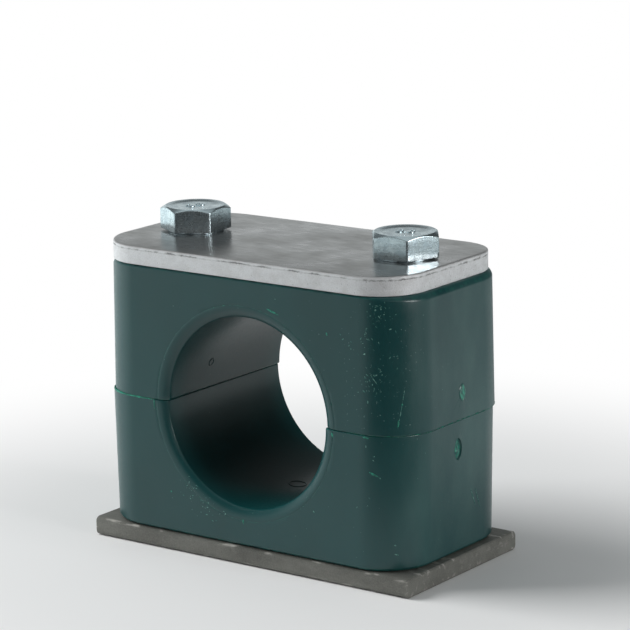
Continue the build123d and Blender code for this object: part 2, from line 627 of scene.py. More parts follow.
def joined(*rows: Loop) -> Loop:
    """Joins rows end to end, dropping each row's first point where it repeats the last.

    Args:
        rows: The rows, in order.

    Returns:
        One loop, without a last point that repeats the first.
    """
    kept = [rows[0]]
    for following in rows[1:]:
        kept.append(following[1:] if np.allclose(following[0], kept[-1][-1], atol=1e-6) else following)
    whole = np.concatenate(kept)
    return whole[:-1] if np.allclose(whole[0], whole[-1], atol=1e-6) else whole


def inward_normals(loop: Loop, inside: tuple[float, float]) -> np.ndarray:
    """Finds the flat normals of a loop that point towards its inside.

    Args:
        loop: A closed loop, of which x and y are used.
        inside: A point inside it.

    Returns:
        A unit x and y for each point.
    """
    tangent = np.roll(loop[:, :2], -1, axis=0) - np.roll(loop[:, :2], 1, axis=0)
    normal = np.stack([-tangent[:, 1], tangent[:, 0]], axis=1)
    normal /= np.linalg.norm(normal, axis=1, keepdims=True)
    turned = np.sum(normal * (np.array(inside) - loop[:, :2]), axis=1)
    return normal * np.where(turned.mean() < 0, -1.0, 1.0)


def drawn_in(loop: Loop, centre: tuple[float, float], radius: float, height: float) -> Loop:
    """Projects a loop onto a circle round a point inside it, keeping each point's direction.

    Args:
        loop: The loop.
        centre: The circle's centre.
        radius: Its radius.
        height: Its level.

    Returns:
        The projected loop.
    """
    away = loop[:, :2] - np.array(centre)
    away = away / np.linalg.norm(away, axis=1, keepdims=True) * radius + np.array(centre)
    return np.column_stack([away, np.full(len(loop), height)])


def side_loop(loop: Loop, hand: float) -> Loop:
    """Cuts a closed outline down the middle and closes one side with a straight seam.

    Args:
        loop: The outline.
        hand: The side that is kept.

    Returns:
        The closed loop of that side.
    """
    kept = loop[loop[:, 0] * hand > -1e-6]
    kept = kept[np.argsort(np.arctan2(kept[:, 1], kept[:, 0] * hand))]
    seam = np.linspace(kept[-1], kept[0], 25)
    seam[:, 0] = 0.0
    return joined(kept, seam)


class Skin:
    """Rows and rings of faces in millimetres, welded into one closed surface."""

    def __init__(self) -> None:
        """Starts with nothing."""
        self._points: list[np.ndarray] = []
        self._faces: list[tuple[int, ...]] = []
        self._marks: dict[str, list[np.ndarray]] = {"wear": [], "cut": []}
        self._count = 0

    def _add(self, points: np.ndarray, **marks: float | np.ndarray) -> int:
        """Stores points with their marks and returns the first one's number.

        Args:
            points: The points, in rows or one by one.
            marks: Values by mark: one for all, one for each row or one for each point.

        Returns:
            The number of the first point.
        """
        first = self._count
        self._points.append(points.reshape(-1, 3))
        for name, value in marks.items():
            value = np.asarray(value, float)
            value = value[:, None] if value.ndim == 1 else value
            self._marks[name].append(np.broadcast_to(value, points.shape[:-1]).reshape(-1))
        self._count += len(self._points[-1])
        return first

    def grid(self, rows: Sequence[Loop] | np.ndarray, wear: float | np.ndarray = 0.0,
             cut: float | np.ndarray = 0.0, closed: bool = False) -> None:
        """Adds the quads between neighbouring rows.

        Args:
            rows: Rows of as many points each.
            wear: How much each point is rubbed, and on the mouldings' lip how strong a painted highlight is;
                one value, one for each row or one for each point.
            cut: How far each point lies on a sheared face, as wear.
            closed: Joins each row's last point to its first.
        """
        points = np.asarray(rows, float)
        first = self._add(points, wear=wear, cut=cut)
        count = points.shape[1]
        for start in range(first, first + (len(points) - 1) * count, count):
            for column in range(count if closed else count - 1):
                here, after = start + column, start + (column + 1) % count
                self._faces.append((here, after, after + count, here + count))

    def zipped(self, outer: Loop, inner: Loop, centre: Sequence[float],
               flat: tuple[int, int] = (0, 1)) -> None:
        """Fills a flat ring between two loops of any number of points with triangles.

        Args:
            outer: The outer loop.
            inner: The inner loop, round the same centre.
            centre: A point that both go round.
            flat: The two coordinates that angles are measured in.
        """
        rings, steps = [], []
        for which, loop in enumerate((outer, inner)):
            side = loop[:, list(flat)] - np.asarray(centre)[list(flat)]
            angles = np.arctan2(side[:, 1], side[:, 0])
            order = np.argsort(angles)
            first = self._add(loop, wear=0.0, cut=0.0)
            rings.append([first + int(number) for number in order])
            angles = angles[order]
            steps += [(angle, which) for angle in (*angles[1:], angles[0] + 2 * pi)]
        at = [0, 0]
        for _, which in sorted(steps):
            here = [ring[spot % len(ring)] for ring, spot in zip(rings, at)]
            at[which] += 1
            self._faces.append((here[0], rings[which][at[which] % len(rings[which])], here[1]))

    def capped(self, loop: Loop, centre: Sequence[float], cut: float = 0.0) -> None:
        """Closes a loop with triangles that meet in a point.

        Args:
            loop: The loop.
            centre: The point.
            cut: How far the points lie on a sheared face.
        """
        first = self._add(np.vstack([loop, np.asarray(centre, float)[None]]), wear=0.0, cut=cut)
        for step in range(len(loop)):
            self._faces.append((first + step, first + (step + 1) % len(loop), first + len(loop)))

    def object(self, name: str, material: Material, crease: float = 34.0) -> Object:
        """Welds the surface and makes it an object.

        Args:
            name: The piece's name.
            material: Its finish.
            crease: Edges that turn by more than this many degrees stay sharp.

        Returns:
            The linked object, at the origin, smooth between its creases and flat on its large faces.
        """
        mesh = bpy.data.meshes.new(name)
        mesh.from_pydata(np.concatenate(self._points) * MM, [], self._faces)
        for mark, values in self._marks.items():
            layer = mesh.attributes.new(mark, "FLOAT", "POINT")
            layer.data.foreach_set("value", np.concatenate(values).astype(np.float32))
        tidy(mesh, recalculate=True)
        piece = linked(name, mesh, material, crease)
        weighted = piece.modifiers.new("flat faces", "WEIGHTED_NORMAL")
        weighted.mode = "FACE_AREA"
        weighted.keep_sharp = True
        keep_result(piece)
        return piece


def tidy(mesh: Mesh, recalculate: bool, reach: float = 2e-7) -> None:
    """Merges doubled points, drops slivers and loose parts, and points the faces outwards.

    Args:
        mesh: The mesh, changed in place.
        recalculate: Works out the faces' directions afresh.
        reach: Points nearer than this, in metres, are merged.
    """
    work = bmesh.new()
    work.from_mesh(mesh)
    bmesh.ops.remove_doubles(work, verts=work.verts, dist=reach)
    bmesh.ops.dissolve_degenerate(work, edges=work.edges, dist=reach)
    bmesh.ops.delete(work, geom=[edge for edge in work.edges if not edge.link_faces], context="EDGES")
    bmesh.ops.delete(work, geom=[vert for vert in work.verts if not vert.link_faces], context="VERTS")
    if recalculate:
        bmesh.ops.recalc_face_normals(work, faces=work.faces)
    work.to_mesh(mesh)
    work.free()


def linked(name: str, data: bpy.types.ID, material: Material | None = None,
           crease: float | None = None) -> Object:
    """Makes an object and links it to the scene.

    Args:
        name: Its name.
        data: What it shows.
        material: Takes the place of its mesh's materials.
        crease: Shades its mesh smoothly, with edges sharp that turn by more degrees than this.

    Returns:
        The object, at the origin.
    """
    made = bpy.data.objects.new(name, data)
    bpy.context.scene.collection.objects.link(made)
    if material is not None:
        data.materials.clear()
        data.materials.append(material)
    if crease is not None:
        data.shade_smooth()
        data.set_sharp_from_angle(angle=radians(crease))
    return made


def keep_result(piece: Object) -> None:
    """Turns what a piece's modifiers make into its plain mesh and removes them.

    Args:
        piece: The piece, changed in place.
    """
    graph = bpy.context.evaluated_depsgraph_get()
    result = bpy.data.meshes.new_from_object(
        piece.evaluated_get(graph), preserve_all_data_layers=True, depsgraph=graph)
    piece.modifiers.clear()
    old, piece.data = piece.data, result
    result.name = piece.name
    bpy.data.meshes.remove(old)


def merged(name: str, pieces: Sequence[Object]) -> Object:
    """Joins pieces of one finish into one mesh and removes them.

    Args:
        name: The joined piece's name.
        pieces: What is joined.

    Returns:
        The joined piece.
    """
    work = bmesh.new()
    for piece in pieces:
        work.from_mesh(piece.data)
    mesh = bpy.data.meshes.new(name)
    work.to_mesh(mesh)
    work.free()
    finish = pieces[0].data.materials[0]
    for piece in pieces:
        bpy.data.objects.remove(piece)
    return linked(name, mesh, finish, GROWN_CREASE)


# ---------------------------------------------------------------------------------------------
# Geometry trees
# ---------------------------------------------------------------------------------------------


def grow(name: str, carrier: Mesh, tree: NodeTree, **values: object) -> Object:
    """Runs a geometry tree on a carrier mesh and keeps what it makes as a plain mesh.

    Args:
        name: The piece's name.
        carrier: What the tree's Geometry input gets.
        tree: The geometry tree.
        values: The other inputs, by name.

    Returns:
        The linked object, at the origin, without its modifier.
    """
    piece = linked(name, carrier)
    grower = piece.modifiers.new(tree.name, "NODES")
    grower.node_group = tree
    for socket in tree.interface.items_tree:
        if socket.in_out == "INPUT" and socket.name in values:
            grower[socket.identifier] = values[socket.name]
    keep_result(piece)
    tidy(piece.data, recalculate=False, reach=1.5e-6)
    piece.data.materials.clear()
    piece.data.materials.append(values["Material"])
    piece.data.shade_smooth()
    piece.data.set_sharp_from_angle(angle=radians(GROWN_CREASE))
    return piece


class GrowthWriter(GroupWriter):
    """Writes a geometry tree that grows pieces on a carrier mesh."""

    kind = "GeometryNodeTree"
    output_kind = SocketKind.GEOMETRY

    def __init__(self, name: str, **inputs: SocketKind) -> None:
        """Starts the tree, with the carrier first and the finish last among its inputs.

        Args:
            name: The tree's name.
            inputs: Its other inputs.
        """
        super().__init__(name, "Geometry", Geometry=SocketKind.GEOMETRY, **inputs,
                         Material=SocketKind.MATERIAL)
        self.position = self.make("GeometryNodeInputPosition")

    def close(self, result: NodeSocket) -> NodeTree:
        """Ends the tree: instances become real and get their material.

        Args:
            result: What the tree has made.

        Returns:
            The tree.
        """
        real = self.make("GeometryNodeRealizeInstances", {"Geometry": result})
        return super().close(self.make("GeometryNodeSetMaterial", {
            "Geometry": real, "Material": self.given["Material"]}))


class GrowingTrees:
    """The geometry trees: ragged flash along a line, chips over a surface, and a screw thread."""

    def __init__(self) -> None:
        """Builds every tree once."""
        self.flash = self._flash()
        self.chips = self._chips()
        self.thread = self._thread()

    @staticmethod
    def _flash() -> NodeTree:
        """A ragged bead along the carrier's edges, broken where the noise is low.

        Returns:
            The tree.
        """
        number = SocketKind.NUMBER
        group = GrowthWriter("moulding flash", Step=number, Raggedness=number, Coverage=number,
                             Thickness=number, Seed=number)
        given = group.given
        curve = group.make("GeometryNodeMeshToCurve", {"Mesh": given["Geometry"]})
        curve = group.make("GeometryNodeResampleCurve", {"Curve": curve, "Length": given["Step"]},
                           mode="LENGTH")
        curve = group.make("GeometryNodeSetCurveNormal", {"Curve": curve}, mode="Z_UP")
        ragged = group.make("ShaderNodeTexNoise", {
            "Vector": group.position, "W": given["Seed"], "Scale": given["Raggedness"], "Detail": 4.0,
            "Roughness": 0.65}, noise_dimensions="4D")
        lowest = group.minus(1.0, given["Coverage"])
        ragged = group.ramp(ragged, lowest, group.plus(lowest, 0.22))
        reach = group.make("GeometryNodeInputNamedAttribute", {"Name": "reach"}, data_type="FLOAT")
        section = group.make("GeometryNodeCurvePrimitiveCircle", {"Resolution": 6, "Radius": 1.0},
                             mode="RADIUS")
        flat = group.make("ShaderNodeCombineXYZ", {"X": 1.0, "Y": given["Thickness"], "Z": 1.0})
        section = group.make("GeometryNodeTransform", {"Geometry": section, "Scale": flat})
        return group.close(group.make("GeometryNodeCurveToMesh", {
            "Curve": curve, "Profile Curve": section, "Scale": group.times(ragged, reach),
            "Fill Caps": True}))

    @staticmethod
    def _chips() -> NodeTree:
        """Small flat flakes scattered over the carrier's faces, thinning out from a centre.

        Returns:
            The tree.
        """
        place, number = SocketKind.PLACE, SocketKind.NUMBER
        group = GrowthWriter("chips", Centre=place, Reach=number, Density=number, Smallest=place,
                             Largest=place, Seed=SocketKind.WHOLE)
        given, seed = group.given, group.given["Seed"]
        away = group.vector("DISTANCE", group.position, given["Centre"])
        share = group.ramp(away, 0.0, given["Reach"], 1.0, 0.0)
        spread = group.node("GeometryNodeDistributePointsOnFaces", {
            "Mesh": given["Geometry"], "Selection": group.math("LESS_THAN", away, given["Reach"]),
            "Density": group.times(given["Density"], share), "Seed": seed},
            distribute_method="RANDOM").outputs
        flake = group.make("GeometryNodeMeshIcoSphere", {"Radius": 1.0, "Subdivisions": 1})
        size = group.make("FunctionNodeRandomValue", {
            0: given["Smallest"], 1: given["Largest"], "Seed": seed}, data_type="FLOAT_VECTOR")
        spin = group.node("FunctionNodeRandomValue", {2: 0.0, 3: 2 * pi, "Seed": seed},
                          data_type="FLOAT").outputs[1]
        twist = group.make("FunctionNodeAxisAngleToRotation", {"Axis": (0.0, 0.0, 1.0), "Angle": spin})
        turned = group.make("FunctionNodeRotateRotation", {
            "Rotation": spread["Rotation"], "Rotate By": twist}, rotation_space="LOCAL")
        return group.close(group.make("GeometryNodeInstanceOnPoints", {
            "Points": spread["Points"], "Instance": flake, "Rotation": turned, "Scale": size}))

    @staticmethod
    def _thread() -> NodeTree:
        """A 60 degree ridge that winds up a cylinder and is cut off flat at its crest radius.

        Returns:
            The tree.
        """
        number = SocketKind.NUMBER
        group = GrowthWriter("screw thread", Pitch=number, Length=number, Root=number, Crest=number,
                             Foot=SocketKind.PLACE, Inwards=number)
        given, spot = group.given, group.position
        pitch, length, root = given["Pitch"], given["Length"], given["Root"]
        helix = group.make("GeometryNodeCurveSpiral", {
            "Resolution": 40, "Rotations": group.math("DIVIDE", length, pitch), "Start Radius": root,
            "End Radius": root, "Height": length, "Reverse": False})
        helix = group.make("GeometryNodeSetCurveNormal", {"Curve": helix}, mode="Z_UP")
        ridge = group.make("GeometryNodeCurvePrimitiveCircle", {
            "Resolution": 12, "Radius": group.times(pitch, 0.5)}, mode="RADIUS")
        # The round section is squeezed into a trapezium: its height falls off from a flat crest.
        out, up = group.axis(spot, 0), group.axis(spot, 1)
        width = group.math("DIVIDE", group.math("ABSOLUTE", up), pitch)
        rise = group.times(group.ramp(width, 0.06, 0.5, 0.62, 0.0), pitch)
        height = group.times(group.times(rise, group.math("SIGN", out)), given["Inwards"])
        shaped = group.make("ShaderNodeCombineXYZ", {"X": height, "Y": up, "Z": 0.0})
        ridge = group.make("GeometryNodeSetPosition", {"Geometry": ridge, "Position": shaped})
        wound = group.make("GeometryNodeCurveToMesh", {
            "Curve": helix, "Profile Curve": ridge, "Scale": 1.0, "Fill Caps": True})
        flat = group.vector("MULTIPLY", spot, (1.0, 1.0, 0.0))
        away = group.vector("LENGTH", flat)
        allowed = group.math("DIVIDE", group.math("MINIMUM", away, given["Crest"]), away)
        level = group.math("MINIMUM", group.math("MAXIMUM", group.axis(spot, 2), 0.0), length)
        level = group.make("ShaderNodeCombineXYZ", {"X": 0.0, "Y": 0.0, "Z": level})
        trimmed = group.vector("ADD", group.vector("SCALE", flat, allowed), level)
        wound = group.make("GeometryNodeSetPosition", {"Geometry": wound, "Position": trimmed})
        return group.close(group.make("GeometryNodeTransform", {
            "Geometry": wound, "Translation": given["Foot"]}))


# ---------------------------------------------------------------------------------------------
# The clamp's parts
# ---------------------------------------------------------------------------------------------


@dataclass
class Workshop:
    """What every sub-assembly draws on: the finishes and the geometry trees."""

    effects: SharedEffects
    trees: GrowingTrees = field(default_factory=GrowingTrees)

    def __post_init__(self) -> None:
        """Builds the finishes."""
        rubbed = TornGreen("rubbed_green", tint(130, 174, 164), tint(52, 108, 100), duller=0.3, gloss=0.12)
        self.green, self.torn, self.rubbed, self.strip, self.zinc, self.bar = (
            finish.material(self.effects) for finish in (
                MouldedGreen("moulded_green"), TornGreen("torn_green"), rubbed, BlankedSteel("blanked_steel"),
                ZincBolt("zinc_bolt"), PhosphatedSteel("phosphated_steel")))

    def fin(self, line: Loop, reach: np.ndarray, step: float, seed: float, finish: Material,
            **shape: float) -> Object:
        """Grows flash along a line.

        Args:
            line: The line's points.
            reach: The furthest that the flash stands out at each point.
            step: How far apart its sections are.
            seed: Where in the noise the breaks fall.
            finish: Its material.
            shape: The tree's Raggedness, Coverage and Thickness.

        Returns:
            The flash.
        """
        mesh = bpy.data.meshes.new("flash line")
        mesh.from_pydata(line * MM, [(number, number + 1) for number in range(len(line) - 1)], [])
        layer = mesh.attributes.new("reach", "FLOAT", "POINT")
        layer.data.foreach_set("value", (reach * MM).astype(np.float32))
        return grow("fin", mesh, self.trees.flash, Step=step * MM, Seed=seed, Material=finish, **shape)

    def thread(self, name: str, foot: Sequence[float], length: float, root: float, crest: float,
               finish: Material, inwards: float = 1.0, pitch: float = 1.0) -> Object:
        """Winds a screw thread.

        Args:
            name: The piece's name.
            foot: The point on its axis where it starts.
            length: How far it runs up.
            root: The radius that it stands on.
            crest: The radius where it is cut off.
            finish: Its material.
            inwards: 1 on a bolt, -1 in a bore.
            pitch: From one turn to the next.

        Returns:
            The thread.
        """
        return grow(name, bpy.data.meshes.new("thread carrier"), self.trees.thread, Pitch=pitch * MM,
                    Length=length * MM, Root=root * MM, Crest=crest * MM, Foot=tuple(np.array(foot) * MM),
                    Inwards=inwards, Material=finish)


def node_box(node: str) -> tuple[np.ndarray, np.ndarray]:
    """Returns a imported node's lowest and highest corners in millimetres."""
    low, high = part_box(node)
    return np.array(low) / MM, np.array(high) / MM


def register(piece: Object, body: str, slot: str, *nodes: str) -> None:
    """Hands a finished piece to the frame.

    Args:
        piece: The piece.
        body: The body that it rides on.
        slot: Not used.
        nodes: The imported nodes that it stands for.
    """
    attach(piece, body)
    if nodes:
        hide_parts(*nodes)
    LOG.info("%s: %d faces, rides on %s", piece.name, len(piece.data.polygons), body)


class HalfSide(Enum):
    """The two mouldings: the body each rides on, its node, and 1 where its outer face is up, else -1."""

    LOWER = ("base", "clamp_half_lower", -1.0)
    UPPER = ("top", "clamp_half_upper", 1.0)


@dataclass(frozen=True)
class GateScar:
    """Where a half was torn off its runner: a pointed oval on one end, sunk or left proud."""

    across: float
    height: float
    half_width: float
    half_height: float
    depth: float
    torn: float  # how far the pale torn plastic spreads towards the outline, 0 to 1


@dataclass(frozen=True)
class Scuff:
    """A patch of fine chips on a half's front or corner."""

    run: float  # along the skin from the front's middle, and on round the corner
    height: float  # above the weld plate's underside
    reach: float
    density: float  # chips on a square centimetre at its middle


@dataclass(frozen=True)
class Shaving:
    """A ragged sliver of plastic on a half's skin, from one place to another."""

    start: tuple[float, float]  # run and height
    stop: tuple[float, float]
    reach: float
    pale: bool = False
    coverage: float = 0.8


@dataclass
class MouldedHalf:
    """One moulded half: rounded block, half bore with flared mouths, and two stepped bolt holes.

    Its points are laid out with the third coordinate measured from the parting face.
    """

    side: HalfSide
    workshop: Workshop
    gate: GateScar
    scuffs: tuple[Scuff, ...] = ()
    shavings: tuple[Shaving, ...] = ()
    seat: float = 0.0  # how far it has settled along X within the bolts' clearance
    bore_radius: float = 15.0
    mouth_width: float = 1.8
    mouth_depth: float = 0.9
    mouth_lip: float = 0.3  # radius of the mouth's inner edge
    mouth_lip_start: float = 43.6  # degrees that the wider curve has turned through where the lip begins
    witness_step: float = 0.06  # half as wide as the groove round the mouth
    witness_depth: float = 0.02
    face_inset: float = 0.075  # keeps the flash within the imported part's box
    corner_radius: float = 7.8
    draft: float = 0.37
    front_rim: float = 0.45
    end_rim: float = 1.1
    rim_slope: float = 1.0  # how far the rim goes in for each millimetre that it rises
    rim_start: float = 28.0  # degrees that it leans in from the start
    parting_break: float = 0.2
    bore_break: float = 0.26
    hole_lead: float = 0.15
    counterbore_radius: float = 6.35
    counterbore_depth: float = 7.0
    sliver_height: float = 0.055  # that shavings and chips may stand above the skin
    smallest_chip: Point = (0.02, 0.015, 0.006)
    largest_chip: Point = (0.28, 0.1, 0.03)
    fin_reach: float = 0.03  # of the parting line's flash on the front
    fin_growth: float = 0.14  # what it gains on the ends
    fin_end: float = 0.04  # its reach beside the mouth
    columns: int = 72
    corner_column: int = 17
    corner_steps: int = 18
    end_steps: int = 12
    bore_steps: int = 40

    def __post_init__(self) -> None:
        """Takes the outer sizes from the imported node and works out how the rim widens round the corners."""
        self.body, self.node, self.upwards = self.side.value
        low, high = node_box(self.node)
        self.height = high[2] - low[2]
        self.parting_level = low[2] if self.upwards > 0 else high[2]
        self.half_width = high[1] - self.face_inset
        self.parting_end = high[0]
        self.mouth = self.bore_radius + self.mouth_width
        self.turns = np.concatenate([
            along(0.0, pi / 2, self.corner_steps), np.full(self.end_steps - 1, pi / 2),
            along(pi / 2, pi, self.corner_steps)])
        self.rims = self.front_rim + (self.end_rim - self.front_rim) * np.sin(self.turns) ** 2

    def end(self, level: float | np.ndarray) -> float | np.ndarray:
        """Returns how far the drafted end is from the middle at a level."""
        return self.parting_end - self.draft * level / self.height

    def placed(self, points: Sequence[Loop] | np.ndarray) -> np.ndarray:
        """Moves points from the half's own layout to their place in the clamp.

        Args:
            points: Points in the half's own layout.

        Returns:
            The points in the clamp.
        """
        points = np.asarray(points)
        return np.stack([points[..., 0] + self.seat, points[..., 1],
                         self.parting_level + self.upwards * points[..., 2]], axis=-1)

    def _arc(self, radius: float, depth: float) -> Loop:
        """Returns a half circle round the bore's axis that starts and ends at the parting break.

        Args:
            radius: From the bore's axis.
            depth: Where it lies along the tube.

        Returns:
            The row.
        """
        share = min(max((self.mouth - radius) / self.mouth_width, 0.0), 1.0)
        start = asin((self.parting_break + (self.bore_break - self.parting_break) * share) / radius)
        angles = along(start, pi - start, self.columns)
        return row(radius * np.cos(angles), depth, radius * np.sin(angles))

    def _frame_row(self, depth: float) -> Loop:
        """Returns the outer border of the flat front, from one corner's foot over to the other's.

        Args:
            depth: Where it lies along the tube.

        Returns:
            The row.
        """
        top, step = self.height - self.front_rim, radians(180 / self.columns)
        fan = step * np.arange(self.corner_column + 1)
        rise = np.tan(fan) / np.tan(fan[-1])
        levels = self.parting_break + (top - self.parting_break) * rise
        right = row(self.end(levels) - self.corner_radius, depth, levels)
        span = step * np.arange(self.corner_column, self.columns - self.corner_column + 1)
        over = row((self.end(top) - self.corner_radius) * np.tan(fan[-1]) / np.tan(span), depth, top)
        return np.concatenate([right, over[1:-1], right[::-1] * MIRRORED_X])

    def _front(self, depth: float) -> np.ndarray:
        """Returns the rows of the flat front or back, from the mouth outwards.

        Args:
            depth: Where it lies along the tube.

        Returns:
            The rows.
        """
        groove = depth - np.sign(depth) * self.witness_depth
        witness = [self._arc(self.mouth, depth), self._arc(self.mouth + self.witness_step, groove),
                   self._arc(self.mouth + 2 * self.witness_step, depth)]
        border = self._frame_row(depth)
        spread = [witness[-1] + (border - witness[-1]) * share for share in (0.1, 0.28, 0.5, 0.75, 1.0)]
        return np.array(witness + spread)

    def _bore(self) -> np.ndarray:
        """Returns the bore's rows with both mouths, front to back.

        Returns:
            The rows.
        """
        knee, lip = radians(self.mouth_lip_start), self.mouth_lip
        wide = (self.mouth_width - lip * (1 - sin(knee))) / sin(knee)
        front = [self._arc(self.mouth - wide * sin(turn), -self.half_width + wide * (1 - cos(turn)))
                 for turn in along(0.0, knee, 7)]
        front += [self._arc(self.bore_radius + lip * (1 - sin(turn)),
                            -self.half_width + self.mouth_depth - lip * cos(turn))
                  for turn in along(knee, pi / 2, 4)[1:]]
        straight = self.half_width - self.mouth_depth
        middle = [self._arc(self.bore_radius, y) for y in along(-straight, straight, self.bore_steps)[1:-1]]
        return np.array([*front, *middle, *(arc * MIRRORED_Y for arc in front[::-1])])

    def _side_wall(self, hand: float) -> np.ndarray:
        """Returns one end's wall with its corners, rows upwards and columns front to back.

        Args:
            hand: The side of the tube.

        Returns:
            The rows.
        """
        straight, corner = self.half_width - self.corner_radius, np.ones(self.corner_steps + 1)
        spots = np.concatenate([-straight * corner, along(-straight, straight, self.end_steps)[1:-1],
                                straight * corner])
        y = spots - self.corner_radius * np.cos(self.turns)
        shares = self._frame_row(0.0)[:self.corner_column + 1, 2] - self.parting_break
        rows = []
        for share in shares / shares[-1]:
            levels = self.parting_break + (self.height - self.rims - self.parting_break) * share
            x = self.end(levels) - self.corner_radius + self.corner_radius * np.sin(self.turns)
            rows.append(row(hand * x, y, levels))
        return np.array(rows)

    def _rim_rows(self, walls: dict[float, np.ndarray], fronts: Sequence[np.ndarray]) -> np.ndarray:
        """Returns closed rows from the walls' top edge, the first row, over the rim to the outer face.

        Args:
            walls: The rows of each end's wall, by its side of the tube.
            fronts: The rows of the flat front and back.

        Returns:
            The rows, from the edge inwards.
        """
        first, last = self.corner_column, self.columns - self.corner_column
        over_front, over_back = (front[-1][first:last + 1] for front in fronts)
        flat = np.full(last - first + 1, self.front_rim)
        pieces = ((over_front[::-1], flat), (walls[1.0][-1], self.rims), (over_back, flat),
                  (walls[-1.0][-1][::-1], self.rims))
        edge, sizes = (np.concatenate([piece[part][:-1] for piece in pieces]) for part in (0, 1))
        start = radians(self.rim_start)
        normals = inward_normals(edge, (0.0, 0.0))
        rows = [edge]
        for turn in along(start, pi / 2, 6)[1:]:
            inset = (cos(start) - cos(turn)) / cos(start) * sizes * self.rim_slope
            rise = (sin(turn) - sin(start)) / (1 - sin(start)) * sizes
            rows.append(row(edge[:, 0] + normals[:, 0] * inset, edge[:, 1] + normals[:, 1] * inset,
                            edge[:, 2] + rise))
        rows[-1][:, 2] = self.height
        return np.array(rows)

    def _hole(self, skin: Skin, hand: float, land: Loop, top: Loop) -> None:
        """Adds one stepped hole between the parting face and the outer face.

        Args:
            skin: The surface.
            hand: The side of the tube.
            land: The loop on the parting face that the hole is joined to.
            top: The loop on the outer face that the counterbore is joined to.
        """
        centre, lead = (hand * HOLE_OFFSET, 0.0), self.hole_lead
        step = self.height - self.counterbore_depth
        opening = drawn_in(land, centre, HOLE_RADIUS + lead, 0.0)
        levels = (lead, step / 2, step)
        hole = [land, *(land + (opening - land) * share for share in (0.35, 0.7)), opening,
                *(drawn_in(land, centre, HOLE_RADIUS, level) for level in levels)]
        mouth = drawn_in(top, centre, self.counterbore_radius + lead, self.height)
        counterbore = [top, top + (mouth - top) * 0.5, mouth, *(
            drawn_in(top, centre, self.counterbore_radius, level) for level in (self.height - lead, step))]
        for rings in (hole, counterbore):
            skin.grid(self.placed(rings), closed=True)
        skin.zipped(self.placed(counterbore[-1]), self.placed(hole[-1]), (centre[0] + self.seat, 0.0, 0.0))

    def _gated_end(self, skin: Skin, wall: np.ndarray) -> None:
        """Adds the flat part of the end that carries the gate scar.

        Args:
            skin: The surface.
            wall: The rows of that end's wall.
        """
        flat = wall[:, self.corner_steps:self.corner_steps + self.end_steps + 1]
        border = joined(flat[0], flat[:, -1], flat[-1][::-1], flat[::-1, 0])
        gate, turns = self.gate, along(0.0, 2 * pi, 48)[:-1]

        def ring(share: float, depth: float, roughness: float) -> Loop:
            """Returns the scar's outline, shrunk to a share of its size and sunk.

            Args:
                share: Of the scar's full size.
                depth: How far it is sunk.
                roughness: How far noise moves its points.

            Returns:
                The outline.
            """
            y = gate.across + gate.half_width * share * np.sign(np.cos(turns)) * np.abs(np.cos(turns)) ** 1.25
            level = gate.height + gate.half_height * share * np.sin(turns)
            torn = np.array([noise.noise(Vector((a * 2.3, b * 1.7, 7.0 + share))) for a, b in zip(y, level)])
            return row(self.end(level) - depth + torn * roughness, y, level)

        rings = [ring(share, depth, roughness) for share, depth, roughness in (
            (1.0, 0.0, 0.0), (0.94, -0.02, 0.0), (0.86, gate.depth * 0.8, 0.03), (0.7, gate.depth, 0.1),
            (0.5, gate.depth * 0.75, 0.16), (0.25, gate.depth * 0.5, 0.16))]
        skin.zipped(self.placed(border), self.placed(rings[0]),
                    self.placed((0.0, gate.across, gate.height)), flat=(1, 2))
        torn = np.array([0.0, 0.0, gate.torn * 0.3, gate.torn, 1.0, 1.0])
        skin.grid(self.placed(rings), cut=torn, closed=True)
        middle = (self.end(gate.height) - gate.depth * 0.4, gate.across, gate.height)
        skin.capped(self.placed(rings[-1]), self.placed(middle), cut=1.0)

    def build(self) -> Object:
        """Builds the moulding.

        Returns:
            The piece.
        """
        skin = Skin()
        fronts = [self._front(-self.half_width), self._front(self.half_width)]
        bore = self._bore()
        walls = {hand: self._side_wall(hand) for hand in HANDS}
        for front in fronts:
            skin.grid(self.placed(front), wear=np.eye(len(front))[1])
        # The lip rows get a little of the paler edge green: a painted highlight along the mouth's inner edge.
        lip = np.zeros(len(bore))
        lip[[9, 10, -11, -10]] = 0.3
        skin.grid(self.placed(bore), wear=lip)
        gated, first, last = walls[1.0], self.corner_steps, self.corner_steps + self.end_steps
        for wall in (walls[-1.0], gated[:, :first + 1], gated[:, last:]):
            skin.grid(self.placed(wall))
        self._gated_end(skin, gated)
        rim = self._rim_rows(walls, fronts)
        skin.grid(self.placed(rim), wear=np.array([0.0, 0.35, 0.5, 0.3, 0.1, 0.0, 0.0]), closed=True)
        crown = rim[-1]
        for hand in HANDS:
            column = 0 if hand > 0 else -1
            loop = joined(fronts[0][:, column], walls[hand][0], fronts[1][::-1, column], bore[::-1, column])
            centre = (hand * HOLE_OFFSET, 0.0)
            normals, edge_break = inward_normals(loop, centre), loop[:, 2]
            rows = [loop]
            for turn in along(0.0, pi / 2, 3)[1:]:
                inset = edge_break * (1 - cos(turn))
                rows.append(np.column_stack([loop[:, :2] + normals * inset[:, None],
                                             edge_break * (1 - sin(turn))]))
            skin.grid(self.placed(rows), wear=np.array([0.0, 0.8, 0.6, 0.0]), closed=True)
            middle = crown[np.abs(crown[:, 0]) < 1e-6]
            kept = crown[crown[:, 0] * hand > 1e-6]
            near, far = middle[middle[:, 1].argmin()], middle[middle[:, 1].argmax()]
            order = np.argsort(np.arctan2(kept[:, 1], (kept[:, 0] - centre[0]) * hand))
            self._hole(skin, hand, rows[-1], joined(near[None], kept[order], np.linspace(far, near, 25)))
        piece = skin.object(f"moulding_{self.side.name.lower()}", self.workshop.green)
        register(piece, self.body, "green_plastic", self.node)
        return piece

